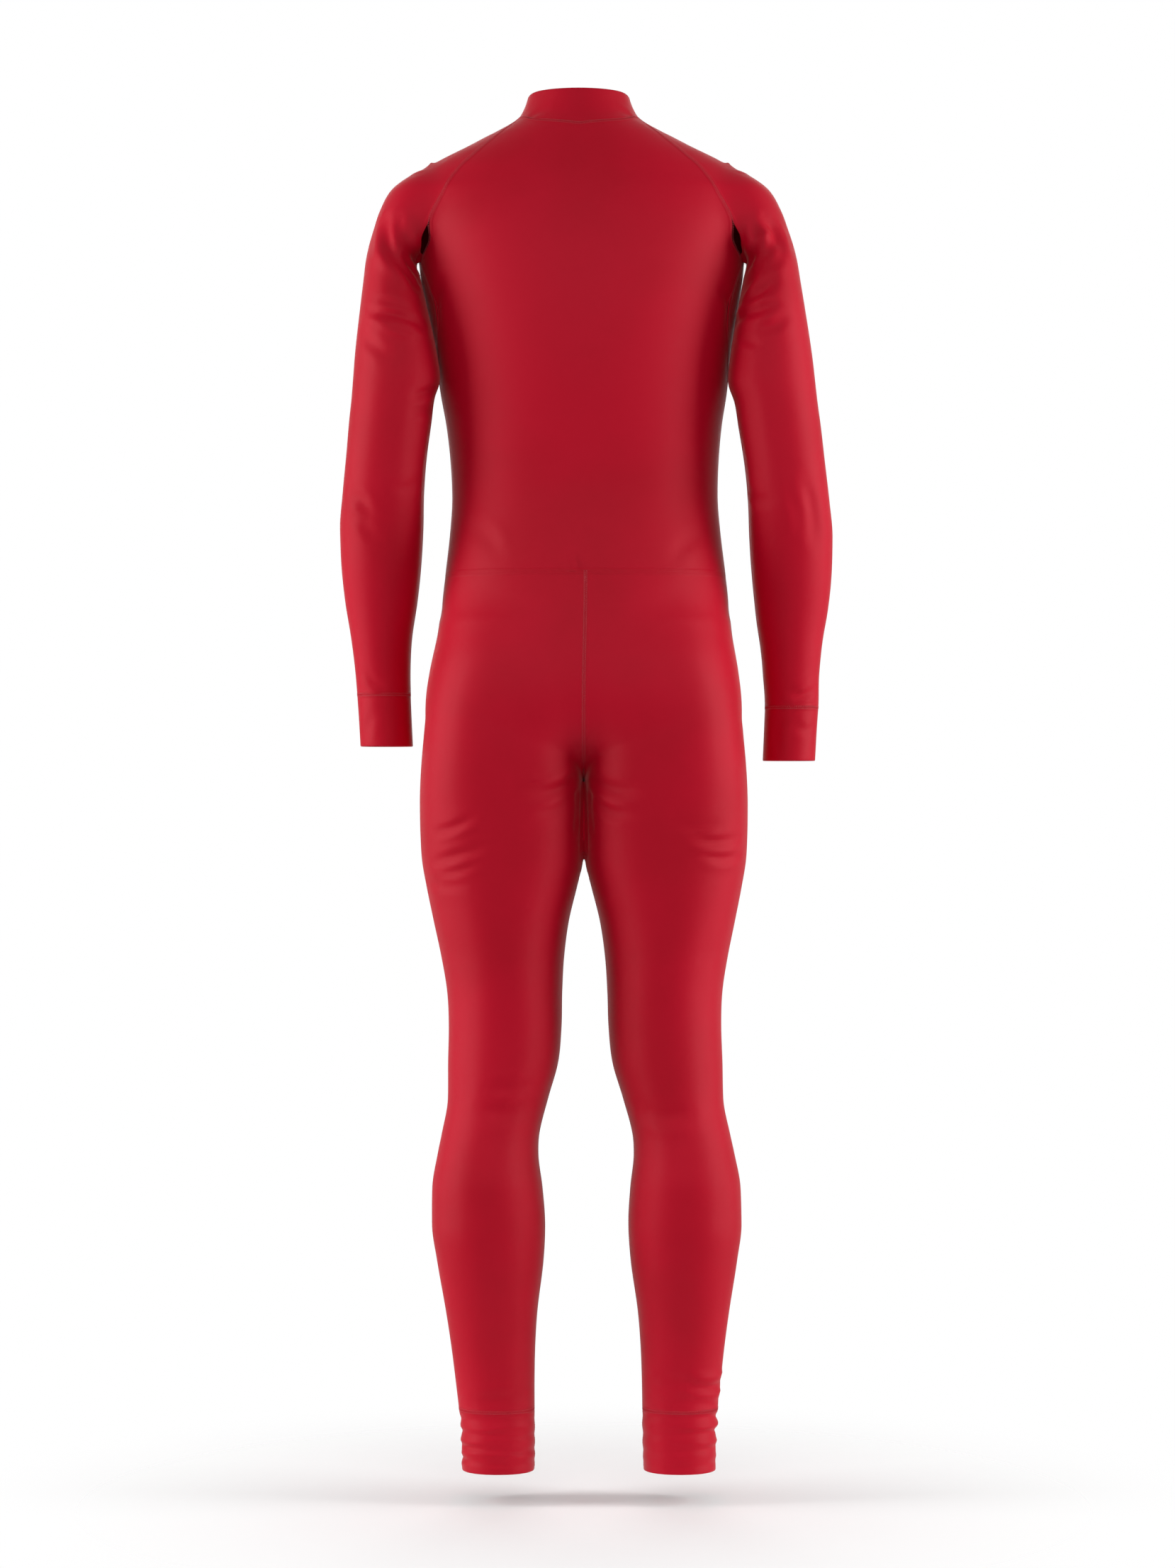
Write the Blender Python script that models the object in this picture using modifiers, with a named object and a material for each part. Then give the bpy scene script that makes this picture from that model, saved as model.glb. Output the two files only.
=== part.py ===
"""Cross-country ski suit, filled out as if worn, with a stand collar and a front zip.

The cloth lies on one general figure: three tapered tubes, for the trunk, an arm and a leg,
that flow into each other at the armpit and the crotch. Each cut piece is a wall between its
seams on that figure, and neighbours share the points of their seam, 0.3 mm apart.
Metres, +Z up, front towards -Y, left side of the suit at +X. The origin is at the nape,
where the trunk hangs from the wearer's shoulders.
"""

import math

import bmesh
import bpy
import numpy as np

MM = 0.001
SEAM_GAP = 0.3 * MM
CLOTH = 1.6 * MM  # one layer of knit, its loops and finish
BAND = 2.2 * MM  # two layers, at the collar, cuffs and ankles

NECK_SEAM = (  # angle from the side, degrees, back positive; height, mm
    (-90, -48), (-60, -30), (-38, -8), (-20, 3), (0, 8), (20, 8), (50, 1), (90, -5),
)
COLLAR_TOP = ((-90, -3), (-45, 15), (0, 31), (45, 35), (90, 35))
WAIST = -489
FORK = -709
UNDERARM = -150
CUFF_SEAM, CUFF_HEM = -618.5, -674
ANKLE_SEAM, ANKLE_HEM = -1395, -1461
RIGHT_ARM_LONGER = 1.03

TRUNK = (  # height, half width, back, front, squareness; mm
    (60, 52, 28, -72, 2.0),
    (35, 55, 37, -75, 2.0),
    (18, 61, 43, -79, 2.0),
    (9, 67, 47, -80, 2.0),
    (0, 80, 52, -81, 2.0),
    (-9, 97, 57, -82, 2.0),
    (-17, 112, 61, -82, 2.0),
    (-36, 149, 70, -84, 2.0),
    (-55, 178, 78, -89, 2.0),
    (-75, 194, 85, -96, 2.1),
    (-100, 191, 92, -104, 2.2),
    (-135, 179, 99, -113, 2.25),
    (-165, 175.5, 102, -118, 2.2),
    (-200, 169.5, 103, -120, 2.2),
    (-250, 161, 101, -119, 2.2),
    (-290, 156, 97, -116, 2.2),
    (-325, 150, 92, -112, 2.25),
    (-364, 146, 87, -108, 2.3),
    (-403, 144.5, 84, -105, 2.3),
    (-441, 147, 86, -104, 2.3),
    (-489, 152.5, 93, -104, 2.3),
    (-518, 155.5, 100, -105, 2.3),
    (-557, 156.5, 108, -105, 2.3),
    (-595, 159.5, 112, -103, 2.3),
    (-630, 155, 108, -97, 2.3),
    (-655, 134, 96, -87, 2.2),
    (-675, 98, 76, -70, 2.1),
    (-690, 55, 44, -40, 2.0),
    (-699, 14, 12, -10, 2.0),
)
ARM = (  # height, inner side, outer side, back, front; mm
    (-50, 160, 164, 6, -10),
    (-56, 150, 181, 24, -28),
    (-65, 145, 197, 36, -40),
    (-75, 141, 208, 43, -47),
    (-94, 140, 218.5, 51, -53),
    (-113, 145, 225, 55, -54),
    (-132, 160, 230.5, 60, -51),
    (-150, 179, 234, 67, -45),
    (-171, 174.3, 236.5, 74, -38),
    (-200, 167.9, 240, 82, -29),
    (-250, 157.9, 246, 87, -19),
    (-278, 154.6, 248.5, 88, -15),
    (-300, 161, 250.5, 87, -13),
    (-325, 164.6, 253.5, 85, -12),
    (-364, 170.4, 257.5, 81, -12),
    (-403, 174, 262, 76, -18),
    (-441, 175.5, 265.7, 65, -28),
    (-480, 178.5, 265, 52, -37),
    (-518, 183, 261.5, 36, -45),
    (-557, 188.6, 255, 21, -50),
    (-595, 190, 250, 7, -56),
    (-634, 189, 247, -3, -62),
    (-674, 187.5, 245, -10, -70),
)
RIGHT_ARM_OUT = (  # height, how far the right arm stands off further; mm
    (-150, 0), (-340, 2), (-530, 2.5), (-580, 5.5), (-620, 9), (-700, 9),
)
ARM_SQUARENESS = 2.2
THIGH_SQUARENESS = ((-540, 2.9), (-720, 2.8), (-800, 2.5), (-900, 2.15))
LEG = (  # height, inner side, outer side, back, front; mm
    (-540, 30, 140, 80, -84),
    (-580, 14, 154.5, 102, -94),
    (-634, 2, 169.5, 110, -97),
    (-672, 0.6, 174, 108, -96),
    (-709, 0.5, 177, 103, -95),
    (-740, 0.5, 178, 97, -94),
    (-775, 0.5, 177.5, 91, -92),
    (-800, 1.4, 176, 87, -91),
    (-827, 7.7, 171.5, 83, -90),
    (-865, 17, 164, 76, -88),
    (-904, 22.4, 156, 69, -85),
    (-942, 24.7, 150, 63, -80),
    (-981, 25.8, 148.5, 58, -74),
    (-1019, 29.7, 149.5, 56, -69),
    (-1058, 40.9, 150, 55, -65),
    (-1097, 50.9, 157, 60, -59),
    (-1116, 52, 161, 64, -56),
    (-1154, 47.8, 167.4, 70, -52),
    (-1193, 45.3, 168, 70, -48),
    (-1232, 47.4, 163, 65, -44),
    (-1289, 54.8, 153.8, 52, -40),
    (-1328, 57.5, 148.4, 43, -38),
    (-1367, 58.6, 144, 37, -38),
    (-1395, 58.8, 141, 35, -39),
    (-1424, 59, 138.3, 35, -41),
    (-1461, 59.4, 138, 36, -43),
)
# How far two forms flow together, by height; mm
ARM_FLOW = ((-60, 24), (-110, 22), (-140, 7), (-149, 3), (-158, 0.4))
LEG_FLOW = ((-560, 34), (-650, 36), (-692, 20), (-706, 8), (-716, 0.4))
SEAT_FLOW = ((-560, 34), (-700, 32), (-745, 8), (-780, 0.4))
LEAN = (  # height, how far the stance leans to the suit's left; mm
    (35, 5.5), (0, 5), (-290, 0), (-500, -2), (-634, 0), (-980, -1.5), (-1289, -4.3), (-1461, -5.8),
)
RAGLAN = (  # back seam x, z; front seam x, z; shoulder ridge x, z; hub inside x, z; mm
    (84, -9, 64, -27, 92, -6, 78, -52),
    (98, -22, 80, -45, 118, -19, 95, -64),
    (115, -38, 97, -61, 146, -33, 112, -76),
    (131.5, -54, 114, -77, 174, -48, 128, -88),
    (149, -82, 132, -97, 203, -70, 145, -104),
    (162, -108, 149, -118, 219, -99, 160, -120),
    (172, -131, 164, -137, 228, -130, 180, -136),
)
RAGLAN_AT_NECK = (16, -38)  # angles of the back and front seam at the collar
SHOULDER_HUB = (118, -4, -115)  # inside the shoulder, where its top line is seen from; mm
CROTCH_HUB = -607  # height inside the seat about which the crotch's rows turn
SIDE_SEAM = (  # height, angle behind the side, degrees
    (-150, 8), (-175, 13), (-205, 16), (-240, 12), (-275, 6), (-310, 2), (-489, 0),
)
SIDE_ROWS = (-175, -205, -240, -275, -310, -345, -385, -425, -458, WAIST)
SLEEVE_ROWS = (
    -164, -179, -195, -212, -229, -246, -264, -290, -325, -360, -395, -430, -465, -500, -535, -570,
    -598, CUFF_SEAM,
)
SEAT_ROWS = (WAIST, -518, -550, -580)
CROTCH_TURNS = ((18, -607), (36, -634), (54, -660), (72, -685), (90, FORK))  # degrees down, side height
LEG_ROWS = (
    -722, -742, -768, -800, -838, -878, -918, -958, -996, -1030, -1062, -1096, -1130, -1165,
    -1205, -1250, -1300, -1350, ANKLE_SEAM,
)
BACK_HALF, FRONT_HALF, SLEEVE_HALF = 8, 8, 10  # columns of each panel

FOLDS = (  # troughs: from x, z to x, z; side of the body, 1 back, -1 front; half width, depth; mm
    (232, -208, 166, -216, 1, 13, 2.6),
    (232, -206, 166, -214, -1, 13, 2.6),
    (256, -374, 178, -380, -1, 18, 3.0),
    (256, -411, 178, -415, -1, 18, 2.6),
)
ANKLE_FOLDS = (  # height, how far round from the inner side, degrees; half width, rise; mm
    (-1408, 150, 4.5, -1.6), (-1418, 210, 5.0, 2.4), (-1429, 170, 4.5, -1.8),
    (-1438, 220, 5.0, 2.2), (-1448, 190, 4.5, -1.5),
)

ZIP_GAP = 6 * MM
TAPE_HALF, TAPE_THICK = 12 * MM, 0.9 * MM
CHAIN_HALF, CHAIN_SUNK = 2.5 * MM, 0.2 * MM
CHAIN_SLOPE = 0.98  # the chain is this much narrower at its face
SLIDER = (8.6 * MM, 2.6 * MM, 11 * MM)  # across, out, up
SLIDER_HEIGHT = -13 * MM
EAR_INNER, EAR_OUTER, EAR_RISE, EAR_LONG = 2.6 * MM, 3.7 * MM, 3.4 * MM, 3.6 * MM
EAR_SUNK = 0.4 * MM  # how far an ear's foot reaches into the slider's body
PIN_RADIUS, EYE_HOLE, EYE_RADIUS = 0.6 * MM, 1.0 * MM, 1.9 * MM
PIN_OUT, PIN_UP = EYE_RADIUS + 0.5 * MM, 1.5 * MM  # from the body's face and its middle
TAB_HALF, TAB_THICK, TAB_LENGTH = 2.2 * MM, 1.2 * MM, 24 * MM
SLIDER_ROUND, EAR_ROUND, TAB_ROUND = 0.8 * MM, 0.2 * MM, 0.3 * MM


def column(table, index, at):
    """A table's column as a smooth curve over its first one, with no overshoot between rows."""
    rows = np.array(sorted(table), float)
    x, y = rows[:, 0], rows[:, index]
    step = np.diff(x)
    slope = np.diff(y) / step
    tangent = np.concatenate([[slope[0]], (slope[1:] + slope[:-1]) / 2, [slope[-1]]])
    turn = slope[1:] * slope[:-1] <= 0
    tangent[1:-1][turn] = 0
    limit = 3 * np.minimum(np.abs(np.append(slope, slope[-1])), np.abs(np.insert(slope, 0, slope[0])))
    tangent = np.clip(tangent, -limit, limit)
    at = np.clip(at, x[0], x[-1])
    i = np.clip(np.searchsorted(x, at) - 1, 0, len(x) - 2)
    t = (at - x[i]) / step[i]
    return (
        y[i] * (1 + 2 * t) * (1 - t) ** 2
        + tangent[i] * step[i] * t * (1 - t) ** 2
        + y[i + 1] * t**2 * (3 - 2 * t)
        + tangent[i + 1] * step[i] * t**2 * (t - 1)
    )


def tube(x, y, middle, half_width, back, front, square):
    """Distance outwards from a tube whose level sections are rounded rectangles, mm."""
    across, along = x - middle, y - (back + front) / 2
    wide, deep = np.abs(across / half_width), np.abs(along / ((back - front) / 2))
    share = np.maximum((wide**square + deep**square) ** (1 / square), 1e-6)
    return (share - 1) * np.hypot(across, along) / share


def flow(first, second, width):
    """Two forms joined, flowing together over a width."""
    share = np.clip(0.5 + 0.5 * (second - first) / width, 0, 1)
    return second * (1 - share) + first * share - width * share * (1 - share)


def arm_form(points):
    """Distance outwards from the arms alone, mm, for points in metres with the lean taken out."""
    x, y, z = np.moveaxis(np.asarray(points) / MM, -1, 0)
    inner, outer, back, front = (column(ARM, i, z) for i in (1, 2, 3, 4))
    arm = tube(np.abs(x), y, (inner + outer) / 2, (outer - inner) / 2, back, front, ARM_SQUARENESS)
    return arm + np.maximum(z - ARM[0][0], 0)


def body_form(points):
    """Distance outwards from the trunk and legs alone."""
    x, y, z = np.moveaxis(np.asarray(points) / MM, -1, 0)
    trunk = tube(x, y, 0, *(column(TRUNK, i, z) for i in (1, 2, 3, 4)))
    trunk = trunk + np.maximum(TRUNK[-1][0] - z, 0) * 3
    inner, outer, back, front = (column(LEG, i, z) for i in (1, 2, 3, 4))
    square = column(THIGH_SQUARENESS, 1, z)
    near, far = (
        tube(side * np.abs(x), y, (inner + outer) / 2, (outer - inner) / 2, back, front, square)
        for side in (1, -1)
    )
    legs = flow(near, far, column(LEG_FLOW, 1, z)) + np.maximum(z - LEG[0][0], 0)
    return flow(trunk, legs, column(SEAT_FLOW, 1, z))


def figure(points):
    """Distance outwards from the whole figure."""
    height = np.asarray(points)[..., 2] / MM
    return flow(body_form(points), arm_form(points), column(ARM_FLOW, 1, height))


def cast(start, way, form=figure, reach=0.4, steps=260):
    """Where rays from inside a form first leave it."""
    start, way = np.broadcast_arrays(np.asarray(start, float), np.asarray(way, float))
    way = way / np.linalg.norm(way, axis=-1, keepdims=True)
    ahead = np.linspace(0, reach, steps)
    outside = form(start[..., None, :] + way[..., None, :] * ahead[:, None]) > 0
    outside[..., 0] = False
    first = np.maximum(outside.argmax(axis=-1), 1)
    low, high = ahead[first - 1], ahead[first]
    for _ in range(24):
        middle = (low + high) / 2
        beyond = form(start + way * middle[..., None]) > 0
        low, high = np.where(beyond, low, middle), np.where(beyond, middle, high)
    return start + way * ((low + high) / 2)[..., None]


def outwards(points, step=0.4 * MM):
    """Unit normals of the figure."""
    slopes = [figure(points + step * axis) - figure(points - step * axis) for axis in np.eye(3)]
    slopes = np.stack(slopes, axis=-1)
    return slopes / np.linalg.norm(slopes, axis=-1, keepdims=True)


def trunk_axis(z):
    """The middle of the trunk at a height in metres, as x, y, z."""
    middle = (column(TRUNK, 2, z / MM) + column(TRUNK, 3, z / MM)) / 2 * MM
    return np.stack([np.zeros_like(middle), middle, z + np.zeros_like(middle)], axis=-1)


def around_trunk(angle, z, form=figure):
    """Points on the trunk at angles from the side, back positive, degrees; heights in metres."""
    angle, z = np.broadcast_arrays(np.radians(angle), z)
    way = np.stack([np.cos(angle), np.sin(angle), np.zeros_like(angle)], axis=-1)
    return cast(trunk_axis(z), way, form)


def trunk_angle(point):
    """The angle from the side at which a point of the trunk lies, degrees."""
    axis = trunk_axis(point[..., 2])
    return np.degrees(np.arctan2(point[..., 1] - axis[..., 1], point[..., 0]))


def neck_point(angle):
    angle = np.asarray(angle, float)
    return around_trunk(angle, column(NECK_SEAM, 1, angle) * MM)


def raglan_seams():
    """The left sleeve's back and front seam, neck to underarm, its top line and the hubs inside."""
    table = np.array(RAGLAN) * MM
    inside = np.array(SHOULDER_HUB) * MM
    deep = np.full(len(table), inside[1])
    back = cast(np.stack([table[:, 0], deep, table[:, 1]], -1), (0, 1, 0))
    front = cast(np.stack([table[:, 2], deep, table[:, 3]], -1), (0, -1, 0))
    ridge = cast(inside, np.stack([table[:, 4], deep, table[:, 5]], -1) - inside)
    hub = np.stack([table[:, 6], (back[:, 1] + front[:, 1]) / 2, table[:, 7]], -1)
    underarm = around_trunk(column(SIDE_SEAM, 1, UNDERARM), UNDERARM * MM)
    ends = [neck_point(angle) for angle in RAGLAN_AT_NECK]
    return np.vstack([ends[0], back, underarm]), np.vstack([ends[1], front, underarm]), ridge, hub


def side_angles(rows):
    return column(SIDE_SEAM, 1, np.array(rows, float))


def trunk_panel(seam, neck_angle, far_end, columns):
    """Half of an upper panel: rows from the neck to the waist, columns from its seam to far_end."""
    last = len(seam) - 1
    share = np.linspace(0, 1, columns + 1)
    start = np.concatenate([trunk_angle(seam), side_angles(SIDE_ROWS)])
    height = np.concatenate([seam[:, 2], np.array(SIDE_ROWS) * MM])
    angle = start[:, None] + (far_end - start[:, None]) * share
    dip = column(NECK_SEAM, 1, angle[0]) - column(NECK_SEAM, 1, neck_angle)
    fade = np.clip(1 - np.arange(len(height)) / last, 0, 1) ** 1.5
    z = height[:, None] + fade[:, None] * dip * MM
    upper, lower = slice(None, last + 1), slice(last + 1, None)
    low = around_trunk(angle[lower], z[lower], body_form)
    return np.concatenate([around_trunk(angle[upper], z[upper]), low])


def turned(first, second, share):
    """Directions from one to another, in even turns."""
    turn = math.acos(np.clip(first @ second, -1, 1))
    share = share[:, None]
    return (np.sin((1 - share) * turn) * first + np.sin(share * turn) * second) / math.sin(turn)


def unit(ways):
    return ways / np.linalg.norm(ways, axis=-1, keepdims=True)


def level_ways(degrees):
    turn = np.radians(degrees)
    return np.stack([np.cos(turn), np.sin(turn), np.zeros_like(turn)], axis=-1)


def limb_axis(table, z):
    """The middle of a left limb at heights in mm."""
    x, y = ((column(table, i, z) + column(table, i + 1, z)) / 2 for i in (1, 3))
    return np.stack([x, y, z], axis=-1) * MM


def sleeve_grid(seams, rows):
    """A sleeve, neck to cuff; each row runs from the back seam over the top to the front seam."""
    back, front, ridge, hub = seams
    half = np.linspace(0, 1, SLEEVE_HALF + 1)
    grid = [neck_point(np.linspace(*RAGLAN_AT_NECK, 2 * SLEEVE_HALF + 1))]
    for i in range(len(ridge)):
        ways = unit(np.array([back[i + 1], ridge[i], front[i + 1]]) - hub[i])
        over = np.vstack([turned(ways[0], ways[1], half), turned(ways[1], ways[2], half)[1:]])
        row = cast(hub[i], over)
        row[0], row[-1] = back[i + 1], front[i + 1]
        grid.append(row)
    heights = np.array([UNDERARM, *rows], float)
    axis = limb_axis(ARM, heights)
    first = np.degrees(np.arctan2(back[-1][1] - axis[0, 1], back[-1][0] - axis[0, 0]))
    fade = np.clip((heights - UNDERARM) / (CUFF_SEAM - UNDERARM), 0, 1)
    for centre, seam in zip(axis, first + (180 - first) * fade):
        angles = np.append(seam * (1 - half), (seam - 360) * half[1:])
        grid.append(cast(centre, level_ways(angles), arm_form))
    grid[len(ridge) + 1][[0, -1]] = back[-1]
    return np.array(grid)


def leg_axis(z):
    """A line from the middle of the waist down into the left leg, heights in mm."""
    share = np.clip((WAIST - z) / (WAIST - FORK), 0, 1)
    share = (share * share * (3 - 2 * share))[..., None]
    axis = limb_axis(LEG, z) * share + trunk_axis(z * MM) * (1 - share)
    axis[..., 2] = z * MM
    return axis


def leg_grid(rows):
    """A leg, waist to ankle seam; each row runs from the centre back round the side to the front."""
    count = BACK_HALF + FRONT_HALF
    share = np.linspace(0, 1, count + 1)
    grid = []
    crotch = trunk_axis(np.array(CROTCH_HUB * MM))
    turns = [(0, height) for height in SEAT_ROWS] + list(CROTCH_TURNS)
    for turn, height in turns:
        start = trunk_axis(np.array(height * MM)) if turn == 0 else crotch
        down = math.radians(turn)
        ends = [cast(start, (0, way * math.cos(down), -math.sin(down))) for way in (1, -1)]
        ends_z = np.array([end[2] for end in ends]) / MM
        level = ends_z[0] + (ends_z[1] - ends_z[0]) * share
        z = level + (height - level) * np.sin(math.pi * share)
        axis = leg_axis(z)
        away = [end - leg_axis(end[2] / MM) for end in ends]
        angle = [math.degrees(math.atan2(a[1], a[0])) for a in away]
        first, last = angle[0] % 360, angle[1] % 360 - 360
        row = cast(axis, level_ways(first + (last - first) * share))
        row[0], row[-1] = ends
        grid.append(row)
    middle = (grid[-1][0] + grid[-1][-1]) / 2
    grid[-1][0] = grid[-1][-1] = middle
    for height in rows:
        angles = 180 - 360 * share
        grid.append(cast(limb_axis(LEG, np.array(float(height))), level_ways(angles)))
    return np.array(grid), len(turns) - 1


def band_grid(table, top, bottom, count, rows):
    """A band round a limb between two heights."""
    share = np.linspace(0, 1, count + 1)
    heights = np.linspace(top, bottom, rows + 1)
    form = arm_form if table is ARM else body_form
    ways = level_ways(180 - 360 * share)
    return np.array([cast(limb_axis(table, np.array(z)), ways, form) for z in heights])


def ease(share):
    share = np.clip(share, 0, 1)
    return share * share * (3 - 2 * share)


def folded(grid, normals):
    """A sleeve's grid with its largest folds pressed in along straight lines."""
    x, y, z = np.moveaxis(grid / MM, -1, 0)
    rise = np.zeros_like(x)
    for x0, z0, x1, z1, face, width, depth in FOLDS:
        run = np.array([x1 - x0, z1 - z0])
        along = ((x - x0) * run[0] + (z - z0) * run[1]) / (run @ run)
        off = np.abs((x - x0) * run[1] - (z - z0) * run[0]) / math.hypot(*run)
        ends = ease(along / 0.25 + 0.5) * ease((1 - along) / 0.25 + 0.5)
        rise -= depth * np.exp(-((off / width) ** 2)) * ends * ease(normals[..., 1] * face / 0.5)
    seam_free = np.ones_like(rise)
    seam_free[:, [0, -1]] = 0
    seam_free[[0, -1]] = 0
    return grid + normals * (rise * seam_free)[..., None] * MM


def pushed_up(grid, normals):
    """An ankle band's grid with the ring folds of a leg pushed up a little."""
    rows, columns = grid.shape[:2]
    round_from_inside = np.linspace(0, 360, columns)
    z = grid[..., 2] / MM
    rise = np.zeros_like(z)
    for height, centre, width, amount in ANKLE_FOLDS:
        strength = 0.35 + 0.65 * np.cos(np.radians(round_from_inside - centre) / 2) ** 2
        rise += amount * np.exp(-(((z - height) / width) ** 2)) * strength
    rise[[0, -1]] = 0
    return grid + normals * rise[..., None] * MM


def seam_edges(grid, normals, top, bottom, open_rows):
    """Moves a panel's sewn edges half the seam gap into the panel; open_rows of its sides are edges."""
    moved = grid.copy()

    def draw_in(edge, inner, keep=slice(None)):
        line = grid[edge]
        across = unit(np.cross(normals[edge], np.gradient(line, axis=0)))
        across *= np.sign(np.sum(across * (grid[inner] - line), axis=-1, keepdims=True))
        moved[edge][keep] += across[keep] * SEAM_GAP / 2

    if top:
        draw_in(np.s_[0], np.s_[1])
    if bottom:
        draw_in(np.s_[-1], np.s_[-2])
    if open_rows:
        reach = slice(0, open_rows + 1)
        draw_in((reach, 0), (reach, 1), slice(0, open_rows))
        draw_in((reach, -1), (reach, -2), slice(0, open_rows))
    if 0 < open_rows < len(grid):
        below = unit(grid[open_rows + 1, 0] - grid[open_rows, 0])
        moved[open_rows, [0, -1]] += below * SEAM_GAP / 2
    closed = np.linalg.norm(grid[:, 0] - grid[:, -1], axis=-1) < SEAM_GAP / 2
    moved[closed, -1] = moved[closed, 0]
    return moved


def lean(points):
    shifted = points.copy()
    shifted[..., 0] += column(LEAN, 1, points[..., 2] / MM) * MM
    return shifted


def hung(points, side):
    """An arm's points as that side's arm: the right one is a little longer and stands off further."""
    placed = points.copy()
    if side < 0:
        placed[..., 0] += column(RIGHT_ARM_OUT, 1, points[..., 2] / MM) * MM
        placed[..., 2] += np.minimum(points[..., 2] - UNDERARM * MM, 0) * (RIGHT_ARM_LONGER - 1)
    return placed


def wall(name, grid, normals, thick, look, open_rows, side=1):
    """A cut piece as one closed wall, its outer face on the grid."""
    return shell(name, np.array([grid, grid - normals * thick]), look, open_rows, side)


def shell(name, skins, look, open_rows, side=1):
    """One closed body between an outer and an inner grid."""
    skins[..., 0] *= side
    rows, columns = skins.shape[1:3]
    number = np.arange(skins.size // 3).reshape(2, rows, columns)
    faces = []
    for outer in (0, 1):
        n = number[outer]
        faces += np.stack([n[:-1, :-1], n[:-1, 1:], n[1:, 1:], n[1:, :-1]], -1).reshape(-1, 4).tolist()
    rims = [number[:, 0], number[:, -1]]
    if open_rows:
        rims += [number[:, : open_rows + 1, 0], number[:, : open_rows + 1, -1]]
    for rim in rims:
        faces += np.stack([rim[0, :-1], rim[0, 1:], rim[1, 1:], rim[1, :-1]], -1).tolist()
    mesh = bpy.data.meshes.new(name)
    mesh.from_pydata(lean(skins).reshape(-1, 3).tolist(), [], faces)
    shape = bmesh.new()
    shape.from_mesh(mesh)
    bmesh.ops.remove_doubles(shape, verts=shape.verts, dist=1e-6)
    bmesh.ops.recalc_face_normals(shape, faces=shape.faces)
    shape.to_mesh(mesh)
    shape.free()
    mesh.shade_smooth()
    mesh.set_sharp_from_angle(angle=math.radians(40))
    mesh.materials.append(look)
    piece = bpy.data.objects.new(name, mesh)
    SUIT.objects.link(piece)
    return piece


def material(name, colour, roughness, metallic=0.0):
    made = bpy.data.materials.new(name)
    made.use_nodes = True
    shader = made.node_tree.nodes["Principled BSDF"]
    shader.inputs["Base Color"].default_value = (*colour, 1)
    shader.inputs["Roughness"].default_value = roughness
    shader.inputs["Metallic"].default_value = metallic
    return made


def clear_scene():
    for thing in list(bpy.data.objects):
        bpy.data.objects.remove(thing, do_unlink=True)


def build_trunk(seams, knit):
    back_seam, front_seam = seams[:2]
    half = trunk_panel(back_seam, RAGLAN_AT_NECK[0], 90, BACK_HALF)
    other = half[:, -2::-1] * (-1, 1, 1)
    grid = np.concatenate([half, other], axis=1)
    normals = outwards(grid)
    edged = seam_edges(grid, normals, True, True, len(grid))
    wall("back", edged, normals, CLOTH, knit, len(grid))
    front = trunk_panel(front_seam, RAGLAN_AT_NECK[1], -90, FRONT_HALF)
    front[:, -1] = centre_front(front[:, -1, 2], ZIP_GAP / 2)
    normals = outwards(front)
    edged = seam_edges(front, normals, True, True, len(front))
    edged[:, -1, 0] = ZIP_GAP / 2
    for side, name in ((1, "front_left"), (-1, "front_right")):
        wall(name, edged, normals, CLOTH, knit, len(front), side)


def build_sleeves(seams, knit):
    grid = sleeve_grid(seams, SLEEVE_ROWS)
    normals = outwards(grid)
    open_rows = len(seams[0]) - 1
    edged = folded(seam_edges(grid, normals, True, True, open_rows), normals)
    cuff = band_grid(ARM, CUFF_SEAM, CUFF_HEM, 2 * SLEEVE_HALF, 3)
    cuff_normals = outwards(cuff)
    cuff_edged = seam_edges(cuff, cuff_normals, True, False, 0)
    for side, name in ((1, "left"), (-1, "right")):
        wall(f"sleeve_{name}", hung(edged, side), normals, CLOTH, knit, open_rows, side)
        wall(f"cuff_{name}", hung(cuff_edged, side), cuff_normals, BAND, knit, 0, side)


def build_legs(knit):
    grid, open_rows = leg_grid(LEG_ROWS)
    normals = outwards(grid)
    edged = seam_edges(grid, normals, True, True, open_rows)
    edged[..., 0] = np.maximum(edged[..., 0], SEAM_GAP / 2)
    ankle = band_grid(LEG, ANKLE_SEAM, ANKLE_HEM, BACK_HALF + FRONT_HALF, 8)
    ankle_normals = outwards(ankle)
    ankle_edged = pushed_up(seam_edges(ankle, ankle_normals, True, False, 0), ankle_normals)
    for side, name in ((1, "left"), (-1, "right")):
        wall(f"leg_{name}", edged, normals, CLOTH, knit, open_rows, side)
        wall(f"ankle_{name}", ankle_edged, ankle_normals, BAND, knit, 0, side)


def build_collar(knit):
    back, front = RAGLAN_AT_NECK
    angles = np.concatenate([
        np.linspace(90, back, BACK_HALF + 1),
        np.linspace(back, front, 2 * SLEEVE_HALF + 1)[1:],
        np.linspace(front, -90, FRONT_HALF + 1)[1:],
    ])
    share = np.linspace(0, 1, 4)[:, None]
    foot, top = column(NECK_SEAM, 1, angles) * MM, column(COLLAR_TOP, 1, angles) * MM
    half = around_trunk(angles, foot * (1 - share) + top * share)
    half[:, -1] = centre_front(half[:, -1, 2], ZIP_GAP / 2)
    grid = np.concatenate([half[:, ::-1], half[:, 1:] * (-1, 1, 1)], axis=1)
    normals = outwards(grid)
    edged = seam_edges(grid, normals, True, False, 0)
    wall("collar", edged, normals, BAND, knit, len(grid))


def centre_front(z, x=0.0):
    """Points of the front at a small distance x from its centre, heights in metres."""
    start = trunk_axis(z)
    start[..., 0] = x
    return cast(start, (0, -1, 0))


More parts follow.
